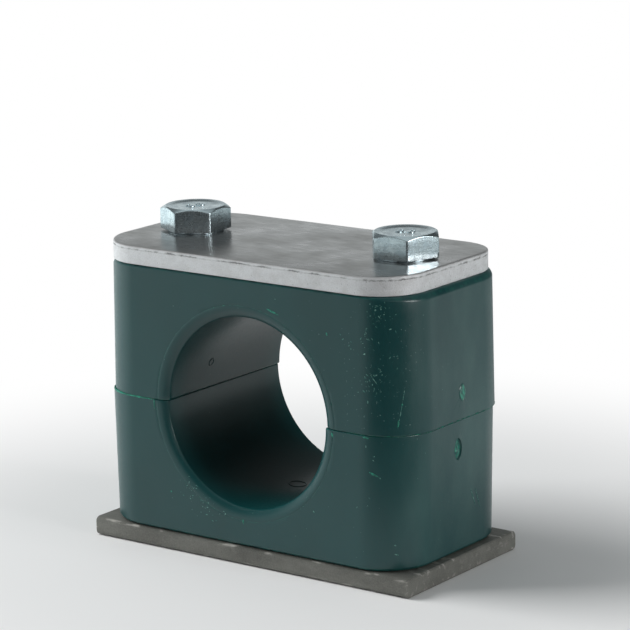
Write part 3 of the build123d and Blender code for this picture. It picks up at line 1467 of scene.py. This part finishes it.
    def on_skin(self, run: float, height: float, proud: float = 0.0) -> np.ndarray:
        """Finds a place on the front, its rounded corner or the end.

        Args:
            run: Along the skin from the front's middle, negative to the left.
            height: Above the weld plate's underside.
            proud: How far the place lies above the skin.

        Returns:
            The point.
        """
        radius, hand, run = self.corner_radius, 1 if run > 0 else -1, abs(run)
        start = self.end(abs(height - self.parting_level)) - radius
        turn = min(max((run - start) / radius, 0.0), pi / 2)
        beyond = max(run - start - radius * pi / 2, 0.0)
        centre = np.array([min(run, start), radius - self.half_width + beyond])
        spot = centre + (radius + proud) * np.array([sin(turn), -cos(turn)])
        return np.array([hand * spot[0] + self.seat, spot[1], height])

    def handling(self, skin: Object, seed: int) -> None:
        """Grows the chips and shavings that moulding and handling left.

        Args:
            skin: The finished moulding.
            seed: Where the chips fall.
        """
        shop = self.workshop
        smallest, largest = (tuple(np.array(size) * MM) for size in (self.smallest_chip, self.largest_chip))
        pale = [grow("chips", skin.data.copy(), shop.trees.chips,
                     Centre=tuple(self.on_skin(scuff.run, scuff.height) * MM), Reach=scuff.reach * MM,
                     Density=scuff.density * 1e4, Smallest=smallest, Largest=largest, Seed=seed + index,
                     Material=shop.rubbed) for index, scuff in enumerate(self.scuffs)]
        torn: list[Object] = []
        for index, shaving in enumerate(self.shavings):
            shares = along(0.0, 1.0, 8)[:, None]
            spots = np.array(shaving.start) * (1 - shares) + np.array(shaving.stop) * shares
            line = np.array([self.on_skin(*spot, self.sliver_height - shaving.reach) for spot in spots])
            reach = shaving.reach * np.sqrt(np.sin(np.linspace(0.25, pi - 0.1, len(line))))
            (pale if shaving.pale else torn).append(shop.fin(
                line, reach, 0.09, float(seed + index), shop.rubbed if shaving.pale else shop.torn,
                Raggedness=2600.0, Coverage=shaving.coverage, Thickness=1.6))
        for tone, made in (("pale", pale), ("torn", torn)):
            if made:
                register(merged(f"marks_{tone}_{self.side.name.lower()}", made), self.body, "green_plastic")

    def ejector(self, turn: float, depth: float, radius: float) -> None:
        """Builds the ring that an ejector pin left in the bore.

        Args:
            turn: Round the bore, in degrees from +X.
            depth: Along the tube.
            radius: Of the pin.
        """
        turns, rows = along(0.0, 2 * pi, 40)[:-1], []
        for around in along(0.0, 2 * pi, 8)[:-1]:
            out = radius + 0.14 * cos(around)
            inner = self.bore_radius - (0.09 * sin(around) + 0.01)
            place = radians(turn) + out * np.sin(turns) / self.bore_radius
            rows.append(row(inner * np.cos(place) + self.seat, depth + out * np.cos(turns),
                            self.parting_level + inner * np.sin(place)))
        skin = Skin()
        skin.grid([*rows, rows[0]], closed=True)
        piece = skin.object(f"ejector_ring_{self.side.name.lower()}", self.workshop.green)
        register(piece, self.body, "green_plastic")

    def flash(self, seed: float) -> None:
        """Grows the flash: thin fins where the halves meet and specks round the mouth.

        Args:
            seed: Where in the noise the breaks fall.
        """
        shop, grown = self.workshop, []
        wall = self._side_wall(1.0)[0]
        level = 0.02 + self.parting_break * 0.4
        reach = self.fin_reach + self.fin_growth * np.sin(self.turns) ** 2
        reach = np.concatenate([[self.fin_end], reach, [self.fin_end]])
        for hand in HANDS:
            line = wall * (hand, 1.0, 1.0)
            line[:, 2] = level
            front = np.array([[hand * self.mouth, -self.half_width, level]])
            whole = np.concatenate([front, line, front * MIRRORED_Y])
            grown.append(shop.fin(self.placed(whole), reach, 0.16, seed + hand, shop.torn, Raggedness=900.0,
                                  Coverage=0.52, Thickness=0.5))
        witness = self._arc(self.mouth + 0.1, -self.half_width)
        strength = 0.028 + 0.03 * np.clip(np.sin(np.linspace(0, pi, len(witness))), 0, 1)
        for hand in HANDS:
            grown.append(shop.fin(self.placed(witness * (1.0, hand, 1.0)), strength, 0.14, seed + 5.0 + hand,
                                  shop.torn, Raggedness=1300.0, Coverage=0.46, Thickness=1.0))
        register(merged(f"flash_{self.side.name.lower()}", grown), self.body, "green_plastic")


@dataclass
class CoverStrip:
    """The blanked cover plate: rolled-over top edge, grainy sheared side, a bolt hole at each end."""

    workshop: Workshop
    corner_radius: float = 7.6
    top_round: float = 0.28
    foot_round: float = 0.1
    crown: float = 0.17  # how far the long edges lie below the middle of the top
    crown_start: float = 7.0  # where the top starts to fall, from the centre line
    grain_depth: float = 0.03  # of the sheared side
    grainy_rows: tuple[int, int] = (3, 8)  # the first and the last that the shearing tore
    sunk: float = 0.001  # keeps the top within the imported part's box
    corner_steps: int = 22
    long_steps: int = 56
    end_steps: int = 20

    def __post_init__(self) -> None:
        """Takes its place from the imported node."""
        self.low, self.high = node_box("cover_plate")

    def _outline(self, inset: float, height: float) -> Loop:
        """Returns the plate's outline, drawn in by an inset, from the middle of its front edge.

        Args:
            inset: How far it is drawn in.
            height: Its level.

        Returns:
            The closed loop.
        """
        end, side = self.high[0] - inset, self.high[1] - inset
        radius = self.corner_radius - inset
        turns = along(0.0, pi / 2, self.corner_steps)
        corner = row(end - radius + radius * np.sin(turns), -side + radius - radius * np.cos(turns), height)
        front = row(along(0.0, end - radius, self.long_steps // 2), -side, height)
        up = row(end, along(-side + radius, side - radius, self.end_steps), height)
        right = joined(front, corner, up, (corner * MIRRORED_Y)[::-1], (front * MIRRORED_Y)[::-1])
        return joined(right, (right * MIRRORED_X)[::-1])

    def _fall(self, loop: Loop) -> np.ndarray:
        """Returns how far the top has fallen at each point, a roll-over left by the blanking."""
        share = np.clip((np.abs(loop[:, 1]) - self.crown_start) / (self.high[1] - self.crown_start), 0.0, 1.0)
        return self.crown * share ** 2.3

    def _on_top(self, loop: Loop) -> Loop:
        """Returns a loop laid on the crowned top."""
        return row(loop[:, 0], loop[:, 1], self.high[2] - self.sunk - self._fall(loop))

    def _grainy(self, loop: Loop, number: int) -> Loop:
        """Pulls points of the sheared side in by a few hundredths.

        Args:
            loop: The row.
            number: The row's number, which moves the noise.

        Returns:
            The torn row.
        """
        torn, inwards = loop.copy(), inward_normals(loop, (0.0, 0.0))
        for index, (x, y, _) in enumerate(loop):
            depth = self.grain_depth * abs(noise.noise(Vector((x * 1.3, y * 1.3, number * 2.1))))
            torn[index, :2] += inwards[index] * depth
        return torn

    def build(self) -> None:
        """Builds the plate and hands it over."""
        foot, top = self.low[2], self.high[2]
        quarter = pi / 2
        # Each row's inset, level, wear and cut: the rounded foot, the sheared side, the rounded top.
        profile = [(self.foot_round * (1 - sin(turn)), foot + self.foot_round * (1 - cos(turn)), 0.2, 0.9)
                   for turn in along(0.0, quarter, 3)]
        rise = top - self.top_round - foot - self.foot_round
        profile += [(0.0, foot + self.foot_round + rise * share, 0.0, 1.0)
                    for share in along(0.0, 1.0, 7)[1:-1]]
        profile += [(self.top_round * (1 - cos(turn)), top - self.top_round * (1 - sin(turn)) - self.sunk,
                     1.0, 1.0 - turn / quarter) for turn in along(0.0, quarter, 5)]
        rows = [self._outline(inset, level) for inset, level, _, _ in profile]
        first, last = self.grainy_rows
        for number in range(first, len(rows)):
            rows[number][:, 2] -= number / (len(rows) - 1) * self._fall(rows[number])
            if number <= last:
                rows[number] = self._grainy(rows[number], number)
        _, _, wear, cut = np.array(profile).T
        skin = Skin()
        skin.grid(rows, wear=wear, cut=cut, closed=True)
        for hand in HANDS:
            centre = (hand * HOLE_OFFSET, 0.0)
            over, under = (side_loop(rows[number], hand) for number in (-1, 0))
            seam = np.abs(over[:, 0]) < 1e-6
            over[seam] = self._on_top(over[seam])
            rim, floor = (drawn_in(over, centre, HOLE_RADIUS, level) for level in (top, foot))
            rings = [self._on_top(over + (rim - over) * share) for share in along(0.0, 1.0, 14)[1:]]
            skin.grid([over, *rings, floor], closed=True)
            skin.zipped(under, floor, (*centre, 0.0))
        register(skin.object("cover_strip", self.workshop.strip), "top", "zinc_plate", "cover_plate")


@dataclass
class HexBolt:
    """A hexagon bolt: chamfered head on a washer face, plain shank and rolled thread."""

    side: str
    workshop: Workshop
    turn: float  # degrees from +X to a corner
    stamp_turn: float
    across_flats: float = 9.78
    head_height: float = 4.0
    corner_round: float = 0.4
    top_radius: float = 4.65
    chamfer: float = 30.0
    washer_radius: float = 4.45
    washer_height: float = 0.3
    shank_radius: float = 3.0
    tip_chamfer: float = 0.6
    neck_round: float = 0.3  # under the head
    edge_round: float = 0.12  # of the head's lower edge
    knee: float = 0.1  # how far the chamfer's edge is rounded down the flats
    root_radius: float = 2.52
    thread_length: float = 18.0
    dish_radius: float = 3.9
    dish_depth: float = 0.14

    def __post_init__(self) -> None:
        """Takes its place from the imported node."""
        low, high = node_box(f"hex_bolt_{self.side}")
        self.centre = np.array([(low[0] + high[0]) / 2, (low[1] + high[1]) / 2])
        self.seat = high[2] - self.head_height
        self.tip = low[2]

    def _section(self) -> np.ndarray:
        """Returns the rounded hexagon as x and y round the bolt's axis.

        Returns:
            A point on each line.
        """
        out, lean = (self.across_flats / 2 - self.corner_round) / cos(radians(30)), radians(30)

        def spot(middle: float, side: float) -> np.ndarray:
            """Returns a point of the round on the corner in one direction."""
            return np.array([out * cos(middle) + self.corner_round * cos(middle + side),
                             out * sin(middle) + self.corner_round * sin(middle + side)])

        points: list[np.ndarray] = []
        for corner in range(6):
            middle = radians(self.turn + 60 * corner)
            points += [spot(middle, side) for side in along(-lean, lean, 6)]
            start, stop = points[-1], spot(middle + radians(60), -lean)
            points += [start + (stop - start) * share for share in along(0.0, 1.0, 14)[1:-1]]
        return np.array(points)

    def build(self) -> None:
        """Builds the bolt, its thread and its strength mark, and hands them over."""
        outline = self._section()
        radii = np.linalg.norm(outline, axis=1)
        unit = outline / radii[:, None]
        slope = tan(radians(self.chamfer))
        foot, shank, root, top = self.tip - self.seat, self.shank_radius, self.root_radius, self.top_radius
        head, washer, knee, neck = self.head_height, self.washer_height, self.knee, self.neck_round
        rows: list[Loop] = []
        wear: list[float] = []

        def add(flat: np.ndarray, level: float | np.ndarray, rubbed: float) -> None:
            """Adds a row at a level above the seat, with its wear."""
            rows.append(row(flat[:, 0] + self.centre[0], flat[:, 1] + self.centre[1], self.seat + level))
            wear.append(rubbed)

        def circles(rubbed: float, *steps: tuple[float, float]) -> None:
            """Adds round rows from their radii and levels."""
            for radius, level in steps:
                add(unit * radius, level, rubbed)

        runout = foot + self.thread_length
        circles(0.2, (0.9, foot), (shank - self.tip_chamfer, foot), (root, foot + self.tip_chamfer * 0.9),
                (root, runout), (shank - 0.02, runout + 0.7), (shank, runout + 0.9), (shank, -neck))
        circles(0.0, *((shank + neck * (1 - cos(turn)) * 0.9, -neck + neck * sin(turn))
                       for turn in along(0.0, pi / 2, 3)), (self.washer_radius - 0.08, 0.0))
        circles(0.6, (self.washer_radius, 0.08))
        circles(0.0, (self.washer_radius, washer))
        for turn in along(0.0, pi / 2, 3):
            inset = self.edge_round * (1 - sin(turn))
            add(unit * (radii - inset)[:, None], washer + self.edge_round * (1 - cos(turn)), 1.0)
        cone = head - np.maximum(radii - top, 0.0) * slope
        low_level = washer + self.edge_round
        for share in (0.35, 0.7):
            add(outline, low_level + (cone - knee - low_level) * share, 0.0)
        add(outline, cone - knee, 0.4)
        inner = np.maximum(radii - knee * cos(radians(self.chamfer)), top)
        start, bend = (np.column_stack([outline, level]) for level in (cone - knee, cone))
        stop = np.column_stack([unit * inner[:, None], head - (inner - top) * slope])
        for share in (0.25, 0.5, 0.75):
            curve = start * (1 - share) ** 2 + bend * 2 * share * (1 - share) + stop * share ** 2
            add(curve[:, :2], curve[:, 2], 1.0)
        for share in (0.0, 0.33, 0.66, 1.0):
            radius = inner + (top - inner) * share
            add(unit * radius[:, None], head - (radius - top) * slope, 0.3)
        dish, drop = self.dish_radius, self.dish_depth
        circles(0.15, (top - 0.12, head - 0.012), (dish + 0.3, head - 0.02), (dish, head - 0.05),
                (dish - 0.35, head - drop), (dish - 1.2, head - (drop + 0.02)), (1.0, head - (drop + 0.03)))
        skin = Skin()
        skin.grid(rows, wear=np.array(wear), closed=True)
        skin.capped(rows[0], (*self.centre, self.tip))
        skin.capped(rows[-1], (*self.centre, self.seat + head - drop - 0.03))
        body, name, finish = f"bolt_{self.side}", f"hex_bolt_{self.side}", self.workshop.zinc
        register(skin.object(f"{body}_blank", finish, crease=26.0), body, "zinc_bolt", name)
        thread = self.workshop.thread(
            f"{body}_thread", (*self.centre, self.tip + self.tip_chamfer * 0.6), self.thread_length - 0.4,
            root - 0.03, shank - 0.02, finish)
        register(thread, body, "zinc_bolt")
        register(self._strength_mark(f"{body}_mark"), body, "zinc_bolt")

    def _strength_mark(self, name: str) -> Object:
        """Returns the raised strength numbers on the top of the head.

        Args:
            name: The piece's name.

        Returns:
            The piece.
        """
        text = bpy.data.curves.new("strength", "FONT")
        text.body = "8.8"
        text.size, text.extrude, text.bevel_depth = 2.5 * MM, 0.09 * MM, 0.02 * MM
        text.align_x, text.align_y = "CENTER", "CENTER"
        label = linked("strength", text)
        graph = bpy.context.evaluated_depsgraph_get()
        mesh = bpy.data.meshes.new_from_object(label.evaluated_get(graph))
        bpy.data.objects.remove(label)
        top = self.seat + self.head_height - self.dish_depth - 0.02
        mesh.transform(Matrix.Translation(Vector((*self.centre, top)) * MM)
                       @ Matrix.Rotation(radians(self.stamp_turn), 4, "Z"))
        tidy(mesh, recalculate=True)
        return linked(name, mesh, self.workshop.zinc)


@dataclass
class WeldBar:
    """The weld plate, a length of rolled bar with round long edges, and its two staked bosses."""

    workshop: Workshop
    rolled_radius: float = 0.8
    spigot_radius: float = 4.5
    flare: float = 0.6
    boss_radius: float = 6.0
    boss_chamfer: float = 0.6
    bore_radius: float = 3.05
    bore_lead: float = 0.4
    thread_root: float = 3.03
    thread_length: float = 2.3
    end_break: float = 0.2
    ring_points: int = 96
    length_steps: int = 180
    round_steps: int = 7

    def __post_init__(self) -> None:
        """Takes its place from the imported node."""
        self.low, self.high = node_box("weld_plate")

    def _section(self, inset: float) -> Loop:
        """Returns the bar's section, y and z, from the middle of its underside round its front.

        Args:
            inset: How far it is drawn in all round.

        Returns:
            The section.
        """
        half, thick = self.high[1] - inset, self.high[2] - self.low[2] - 2 * inset
        radius = self.rolled_radius - inset
        turns = along(0.0, pi / 2, self.round_steps)
        lower = np.column_stack([-half + radius - radius * np.sin(turns), radius - radius * np.cos(turns)])
        upper = np.column_stack([lower[::-1, 0], thick - lower[::-1, 1]])
        flanks = np.column_stack([np.full(3, -half), np.linspace(radius, thick - radius, 5)[1:-1]])
        front = np.concatenate([lower, flanks, upper])
        section = np.concatenate([front, (front * (-1, 1))[::-1]])
        section[:, 1] += inset
        return section

    def _dented(self, x: float, section: np.ndarray) -> Loop:
        """Places a section at a point along the bar, with the small dents of handling.

        Args:
            x: The point along the bar.
            section: The section, y and z.

        Returns:
            The points.
        """
        points = row(x, section[:, 0], section[:, 1] + self.low[2])
        for point in points:
            side = np.sign(point[1])
            wave = noise.noise(Vector((x * 0.09, side * 3.0, 1.0))) * 0.02 + 0.02
            dent = max(0.0, noise.noise(Vector((x * 0.5, side * 9.0, point[2] * 0.35))) - 0.28) * 0.35
            if abs(point[1]) > self.high[1] - self.rolled_radius:
                point[1] -= side * (wave + dent * (1.0 if point[2] > self.low[2] + 1.5 else 0.6))
        return points

    def plate(self) -> None:
        """Builds the bar and hands it over."""
        skin, reach = Skin(), self.high[0]
        section, broken = self._section(0.0), self._section(self.end_break)
        spots = along(-reach + self.end_break, reach - self.end_break, self.length_steps)
        shell = np.array([self._dented(-reach, broken), *(self._dented(x, section) for x in spots),
                          self._dented(reach, broken)])
        count = len(section) // 2
        steps = np.arange(count)
        upper = np.exp(-((steps - (count - self.round_steps / 2 - 1)) / 1.3) ** 2)
        edge = np.maximum(upper, 0.55 * np.exp(-((steps - self.round_steps / 2) / 2.0) ** 2))
        wear = np.broadcast_to(np.concatenate([edge, edge[::-1]]), shell.shape[:2]).copy()
        wear[[0, 1, -2, -1]] = 0.8
        skin.grid(shell[:, :count], wear=wear[:, :count])
        skin.grid(shell[:, count:], wear=wear[:, count:])
        for end, x in ((0, -reach), (-1, reach)):
            loop = shell[end]
            centre = np.array([x, 0.0, (self.low[2] + self.high[2]) / 2])
            ring = centre + (loop - centre) * 0.9
            ring[:, 0] = x
            skin.grid([loop, ring], wear=0.3, cut=1.0, closed=True)
            skin.capped(ring, centre, cut=1.0)
        for end, second in ((0, 1), (-1, -2)):
            for edges in ([count - 1, count], [0, -1]):
                skin.grid([shell[end, edges], shell[second, edges]])
        under = joined(shell[1:-1, 0], shell[-2:0:-1, -1])
        over = joined(shell[1:-1, count - 1], shell[-2:0:-1, count])
        for hand in HANDS:
            centre, rims = np.array([hand * HOLE_OFFSET, 0.0, 0.0]), []
            for loop, radius in ((under, self.spigot_radius + self.flare), (over, self.spigot_radius)):
                level = float(loop[:, 2].mean())
                rims.append(drawn_in(circle(self.ring_points), (0.0, 0.0), radius, level) + centre)
                skin.zipped(side_loop(loop, hand), rims[-1], centre)
            waist = row(rims[1][:, 0], rims[1][:, 1], self.low[2] + self.flare)
            skin.grid([rims[0], waist, rims[1]], closed=True)
        register(skin.object("weld_bar", self.workshop.bar), "base", "phosphated_steel", "weld_plate")

    def boss(self, side: str) -> None:
        """Builds one threaded boss with its staked foot.

        Args:
            side: left or right.
        """
        low, high = node_box(f"threaded_boss_{side}")
        centre = np.array([(low[0] + high[0]) / 2, (low[1] + high[1]) / 2])
        foot, top, thick = low[2], high[2], self.high[2]
        bore, spigot, boss, flare = self.bore_radius, self.spigot_radius, self.boss_radius, self.flare
        ring = circle(self.ring_points)
        stake = np.clip(np.cos(4 * np.arctan2(ring[:, 1], ring[:, 0]) + 0.6) * 3 - 2, 0, 1)
        # Each row's radius, level and wear, from the bore's foot round the outside to its top and back.
        profile = (
            (bore + 0.35, foot, 0.6), (bore + 0.75, foot + 0.02, 0.3), (spigot - 0.25, foot + 0.02, 0.3),
            (spigot + flare - 0.12, foot, 0.9), (spigot + flare - 0.03, foot + 0.09, 0.5),
            (spigot - 0.02, foot + flare, 0.0), (spigot - 0.02, thick, 0.0), (boss - 0.1, thick + 0.01, 0.0),
            (boss, thick + 0.11, 0.3), (boss, top - self.boss_chamfer, 0.0),
            (boss - self.boss_chamfer, top, 0.6), (bore + self.bore_lead, top, 0.4),
            (bore, top - self.bore_lead, 0.3), (bore, (foot + top) / 2, 0.0), (bore, foot + 0.35, 0.0),
            (bore + 0.35, foot, 0.6))
        rows = [row(ring[:, 0] * radius + centre[0], ring[:, 1] * radius + centre[1],
                    level + (stake * 0.3 if number in (1, 2) else 0.0))
                for number, (radius, level, _) in enumerate(profile)]
        skin = Skin()
        skin.grid(rows, wear=np.array([wear for _, _, wear in profile]), closed=True)
        piece = skin.object(f"boss_{side}", self.workshop.bar)
        register(piece, "base", "phosphated_steel", f"threaded_boss_{side}")
        thread = self.workshop.thread(f"boss_{side}_thread", (*centre, foot + 0.4), self.thread_length,
                                      self.thread_root, bore + 0.02, self.workshop.bar, inwards=-1.0)
        register(thread, "base", "phosphated_steel")


# ---------------------------------------------------------------------------------------------
# Studio
# ---------------------------------------------------------------------------------------------


@dataclass(frozen=True)
class Lamp:
    """A square soft lamp that faces the clamp."""

    name: str
    azimuth: float  # round the clamp, 0 in front and 90 to the right, in degrees
    elevation: float
    distance: float  # in metres
    size: float
    power: float
    mirrored: bool = True  # seen in glossy surfaces
    lights: bool = True  # falls on matt surfaces


@dataclass
class Studio:
    """Pale floor, soft surroundings, lamps and the camera."""

    effects: SharedEffects
    target: Vector = field(default_factory=lambda: Vector((6.19, -4.37, 38.17)) * MM)
    camera_place: Vector = field(default_factory=lambda: Vector((268.31, -361.40, 139.92)) * MM)
    roll: float = -0.975
    lens: float = 170.71
    floor_size: float = 6.0
    glow: float = 0.95  # of the surroundings just above the horizon
    overhead: float = 0.14
    zenith: float = 0.44
    lamps: tuple[Lamp, ...] = (
        Lamp("key", azimuth=-66.0, elevation=38.0, distance=0.9, size=0.5, power=7.4, mirrored=False),
        Lamp("fill", azimuth=90.0, elevation=13.0, distance=1.0, size=0.36, power=4.0),
        Lamp("card", azimuth=46.0, elevation=20.0, distance=1.2, size=0.8, power=0.95, lights=False),
    )

    def build(self) -> None:
        """Builds the studio."""
        self._camera()
        self._world()
        self._floor()
        for lamp in self.lamps:
            self._lamp(lamp)
        bpy.context.scene.view_settings.view_transform = "Standard"

    def _camera(self) -> None:
        """Places the camera at its three-quarter view, slightly above the clamp."""
        data = bpy.data.cameras.new("camera")
        data.lens, data.sensor_width = self.lens, 36.0
        data.clip_start, data.clip_end = 0.01, 20.0
        camera = linked("camera", data)
        back = (self.camera_place - self.target).normalized()
        across = Vector((0, 0, 1)).cross(back).normalized()
        up, lean = back.cross(across), radians(self.roll)
        right = across * cos(lean) + up * sin(lean)
        above = up * cos(lean) - across * sin(lean)
        turned = Matrix((right, above, back)).transposed().to_4x4()
        camera.matrix_world = Matrix.Translation(self.camera_place) @ turned
        bpy.context.scene.camera = camera

    def _world(self) -> None:
        """Lights the clamp from a bright band above the horizon, against a white background."""
        world = bpy.data.worlds.new("studio")
        bpy.context.scene.world = world
        world.use_nodes = True
        w = TreeWriter(world.node_tree)
        direction = w.node("ShaderNodeTexCoord").outputs["Generated"]
        level, rise = w.group(self.effects.surroundings, Direction=direction), w.axis(direction, 2)
        level = w.times(level, w.ramp(rise, sin(radians(8)), sin(radians(27)), self.glow, self.overhead,
                                      smooth=True))
        level = w.plus(level, w.ramp(rise, sin(radians(46)), sin(radians(66)), 0.0, self.zenith, smooth=True))
        behind = w.vector("DOT_PRODUCT", direction, (0.5, 0.87, 0.0))
        level = w.times(level, w.ramp(behind, 0.5, 0.85, 1.0, 0.15, smooth=True))
        soft = w.make("ShaderNodeBackground", {"Color": (0.93, 0.99, 1.0, 1.0), "Strength": level})
        white = w.make("ShaderNodeBackground", {"Color": (1.0, 1.0, 1.0, 1.0), "Strength": 1.0})
        camera_ray = w.node("ShaderNodeLightPath").outputs["Is Camera Ray"]
        w.node("ShaderNodeOutputWorld", {
            "Surface": w.make("ShaderNodeMixShader", {0: camera_ray, 1: soft, 2: white})})

    def _floor(self) -> None:
        """Lays a pale floor that fades to white away from the clamp; away from the clamp, reflections and
        bounce see it painted with the surroundings' light and shade.
        """
        mesh, half = bpy.data.meshes.new("floor"), self.floor_size / 2
        mesh.from_pydata([(-half, -half, 0.0), (half, -half, 0.0), (half, half, 0.0), (-half, half, 0.0)], [],
                         [(0, 1, 2, 3)])
        paint = bpy.data.materials.new("floor")
        floor = linked("floor", mesh, paint)
        floor.location.z = -0.00003
        paint.use_nodes = True
        w = TreeWriter(paint.node_tree)
        place = w.node("ShaderNodeTexCoord").outputs["Object"]
        away, around = w.vector("LENGTH", place), w.group(self.effects.surroundings, Direction=place)
        camera_ray = w.node("ShaderNodeLightPath").outputs["Is Camera Ray"]
        # Away from the clamp, rays that are not from the camera see the floor painted with the surroundings'
        # level: painted light and shade.
        painted_light_share = w.times(w.ramp(away, 0.05, 0.09, smooth=True), w.minus(1.0, camera_ray))
        tone = w.make("ShaderNodeCombineColor", {0: w.times(around, 0.94), 1: around, 2: around})
        surface = w.make("ShaderNodeBsdfDiffuse", {"Color": w.blend(painted_light_share, (0.84, 0.84, 0.84, 1.0), tone)})
        glow = w.make("ShaderNodeEmission", {"Color": (1.0, 1.0, 1.0, 1.0), "Strength": 1.0})
        fade = w.times(w.ramp(away, 0.045, 0.12, smooth=True), camera_ray)
        mixed = w.make("ShaderNodeMixShader", {0: fade, 1: surface, 2: glow})
        below = w.node("ShaderNodeNewGeometry").outputs["Backfacing"]
        clear = w.make("ShaderNodeBsdfTransparent")
        w.node("ShaderNodeOutputMaterial", {
            "Surface": w.make("ShaderNodeMixShader", {0: below, 1: mixed, 2: clear})})

    def _lamp(self, lamp: Lamp) -> None:
        """Adds a lamp.

        Args:
            lamp: Where it stands and how it shines.
        """
        data = bpy.data.lights.new(lamp.name, "AREA")
        data.shape, data.size, data.energy = "SQUARE", lamp.size, lamp.power
        lit = linked(lamp.name, data)
        turn, rise = radians(lamp.azimuth), radians(lamp.elevation)
        back = Vector((sin(turn) * cos(rise), -cos(turn) * cos(rise), sin(rise)))
        lit.location = self.target + back * lamp.distance
        lit.visible_glossy = lamp.mirrored
        lit.visible_diffuse = lamp.lights
        lit.visible_camera = False
        lit.rotation_mode = "QUATERNION"
        lit.rotation_quaternion = (-back).to_track_quat("-Z", "Y")


@dataclass
class TubeClamp:
    """The whole clamp, from the weld plate up."""

    workshop: Workshop

    def build(self) -> None:
        """Builds every piece."""
        bar = WeldBar(self.workshop)
        bar.plate()
        for side in ("left", "right"):
            bar.boss(side)
        lower = (
            Shaving((23.1, 18.5), (24.9, 17.7), 0.12),
            Shaving((22.2, 23.7), (23.4, 23.6), 0.12),
            Shaving((16.6, 23.75), (16.9, 22.6), 0.2),
            Shaving((-29.5, 23.9), (-23.0, 23.95), 0.13, coverage=0.75),
            Shaving((-24.5, 23.95), (-17.3, 23.9), 0.12, coverage=0.7),
            Shaving((-17.3, 24.0), (-17.2, 22.4), 0.07, coverage=0.9),
            Shaving((-0.4, 7.4), (-0.3, 6.5), 0.12),
            Shaving((-14.5, 9.7), (-14.2, 9.5), 0.1),
            Shaving((26.9, 5.9), (27.5, 5.7), 0.06, pale=True),
            Shaving((13.0, 10.9), (13.2, 10.6), 0.06, pale=True),
            Shaving((44.2, 12.4), (45.4, 9.6), 0.035, pale=True, coverage=0.75),
            Shaving((45.4, 12.2), (46.7, 9.0), 0.03, pale=True, coverage=0.7),
        )
        upper = (
            Shaving((4.4, 41.1), (7.3, 40.2), 0.15),
            Shaving((15.6, 38.8), (15.8, 38.2), 0.13),
            Shaving((28.5, 31.4), (27.4, 25.2), 0.055, pale=True, coverage=0.6),
            Shaving((27.6, 26.6), (27.3, 25.2), 0.12),
            Shaving((28.1, 29.0), (28.0, 28.6), 0.1),
            Shaving((23.9, 43.8), (27.0, 43.3), 0.06, pale=True, coverage=0.55),
            Shaving((23.3, 33.4), (24.6, 31.6), 0.05, pale=True, coverage=0.6),
        )
        halves = (
            MouldedHalf(HalfSide.LOWER, self.workshop, GateScar(-0.15, 4.5, 1.05, 1.85, 0.3, 0.6),
                        (Scuff(24.0, 22.0, 3.0, 60.0), Scuff(25.0, 12.0, 7.0, 12.0),
                         Scuff(-10.2, 10.4, 2.2, 450.0), Scuff(-7.6, 8.5, 2.4, 400.0),
                         Scuff(-4.6, 7.4, 2.0, 200.0)),
                        lower, front_rim=0.6, end_rim=0.72, rim_slope=1.5),
            MouldedHalf(HalfSide.UPPER, self.workshop, GateScar(0.6, 4.2, 0.9, 1.45, -0.1, 1.0),
                        (Scuff(24.8, 42.4, 2.6, 500.0), Scuff(22.5, 37.6, 1.2, 700.0),
                         Scuff(23.8, 32.0, 2.8, 500.0), Scuff(24.4, 38.0, 7.0, 60.0),
                         Scuff(12.0, 39.0, 8.0, 8.0)),
                        upper, seat=0.3),
        )
        for seed, half in enumerate(halves):
            half.handling(half.build(), 20 * seed)
            half.flash(10.0 * seed)
        halves[0].ejector(turn=-95.0, depth=0.55, radius=1.35)
        halves[1].ejector(turn=164.0, depth=-4.3, radius=0.55)
        CoverStrip(self.workshop).build()
        HexBolt("left", self.workshop, turn=32.0, stamp_turn=70.0).build()
        HexBolt("right", self.workshop, turn=7.0, stamp_turn=20.0).build()


def main() -> None:
    """Builds the studio and the clamp."""
    logging.basicConfig(level=logging.INFO, format="%(name)s: %(message)s")
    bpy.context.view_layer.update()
    effects = SharedEffects()
    Studio(effects).build()
    TubeClamp(Workshop(effects)).build()


if __name__ == "__main__":
    main()
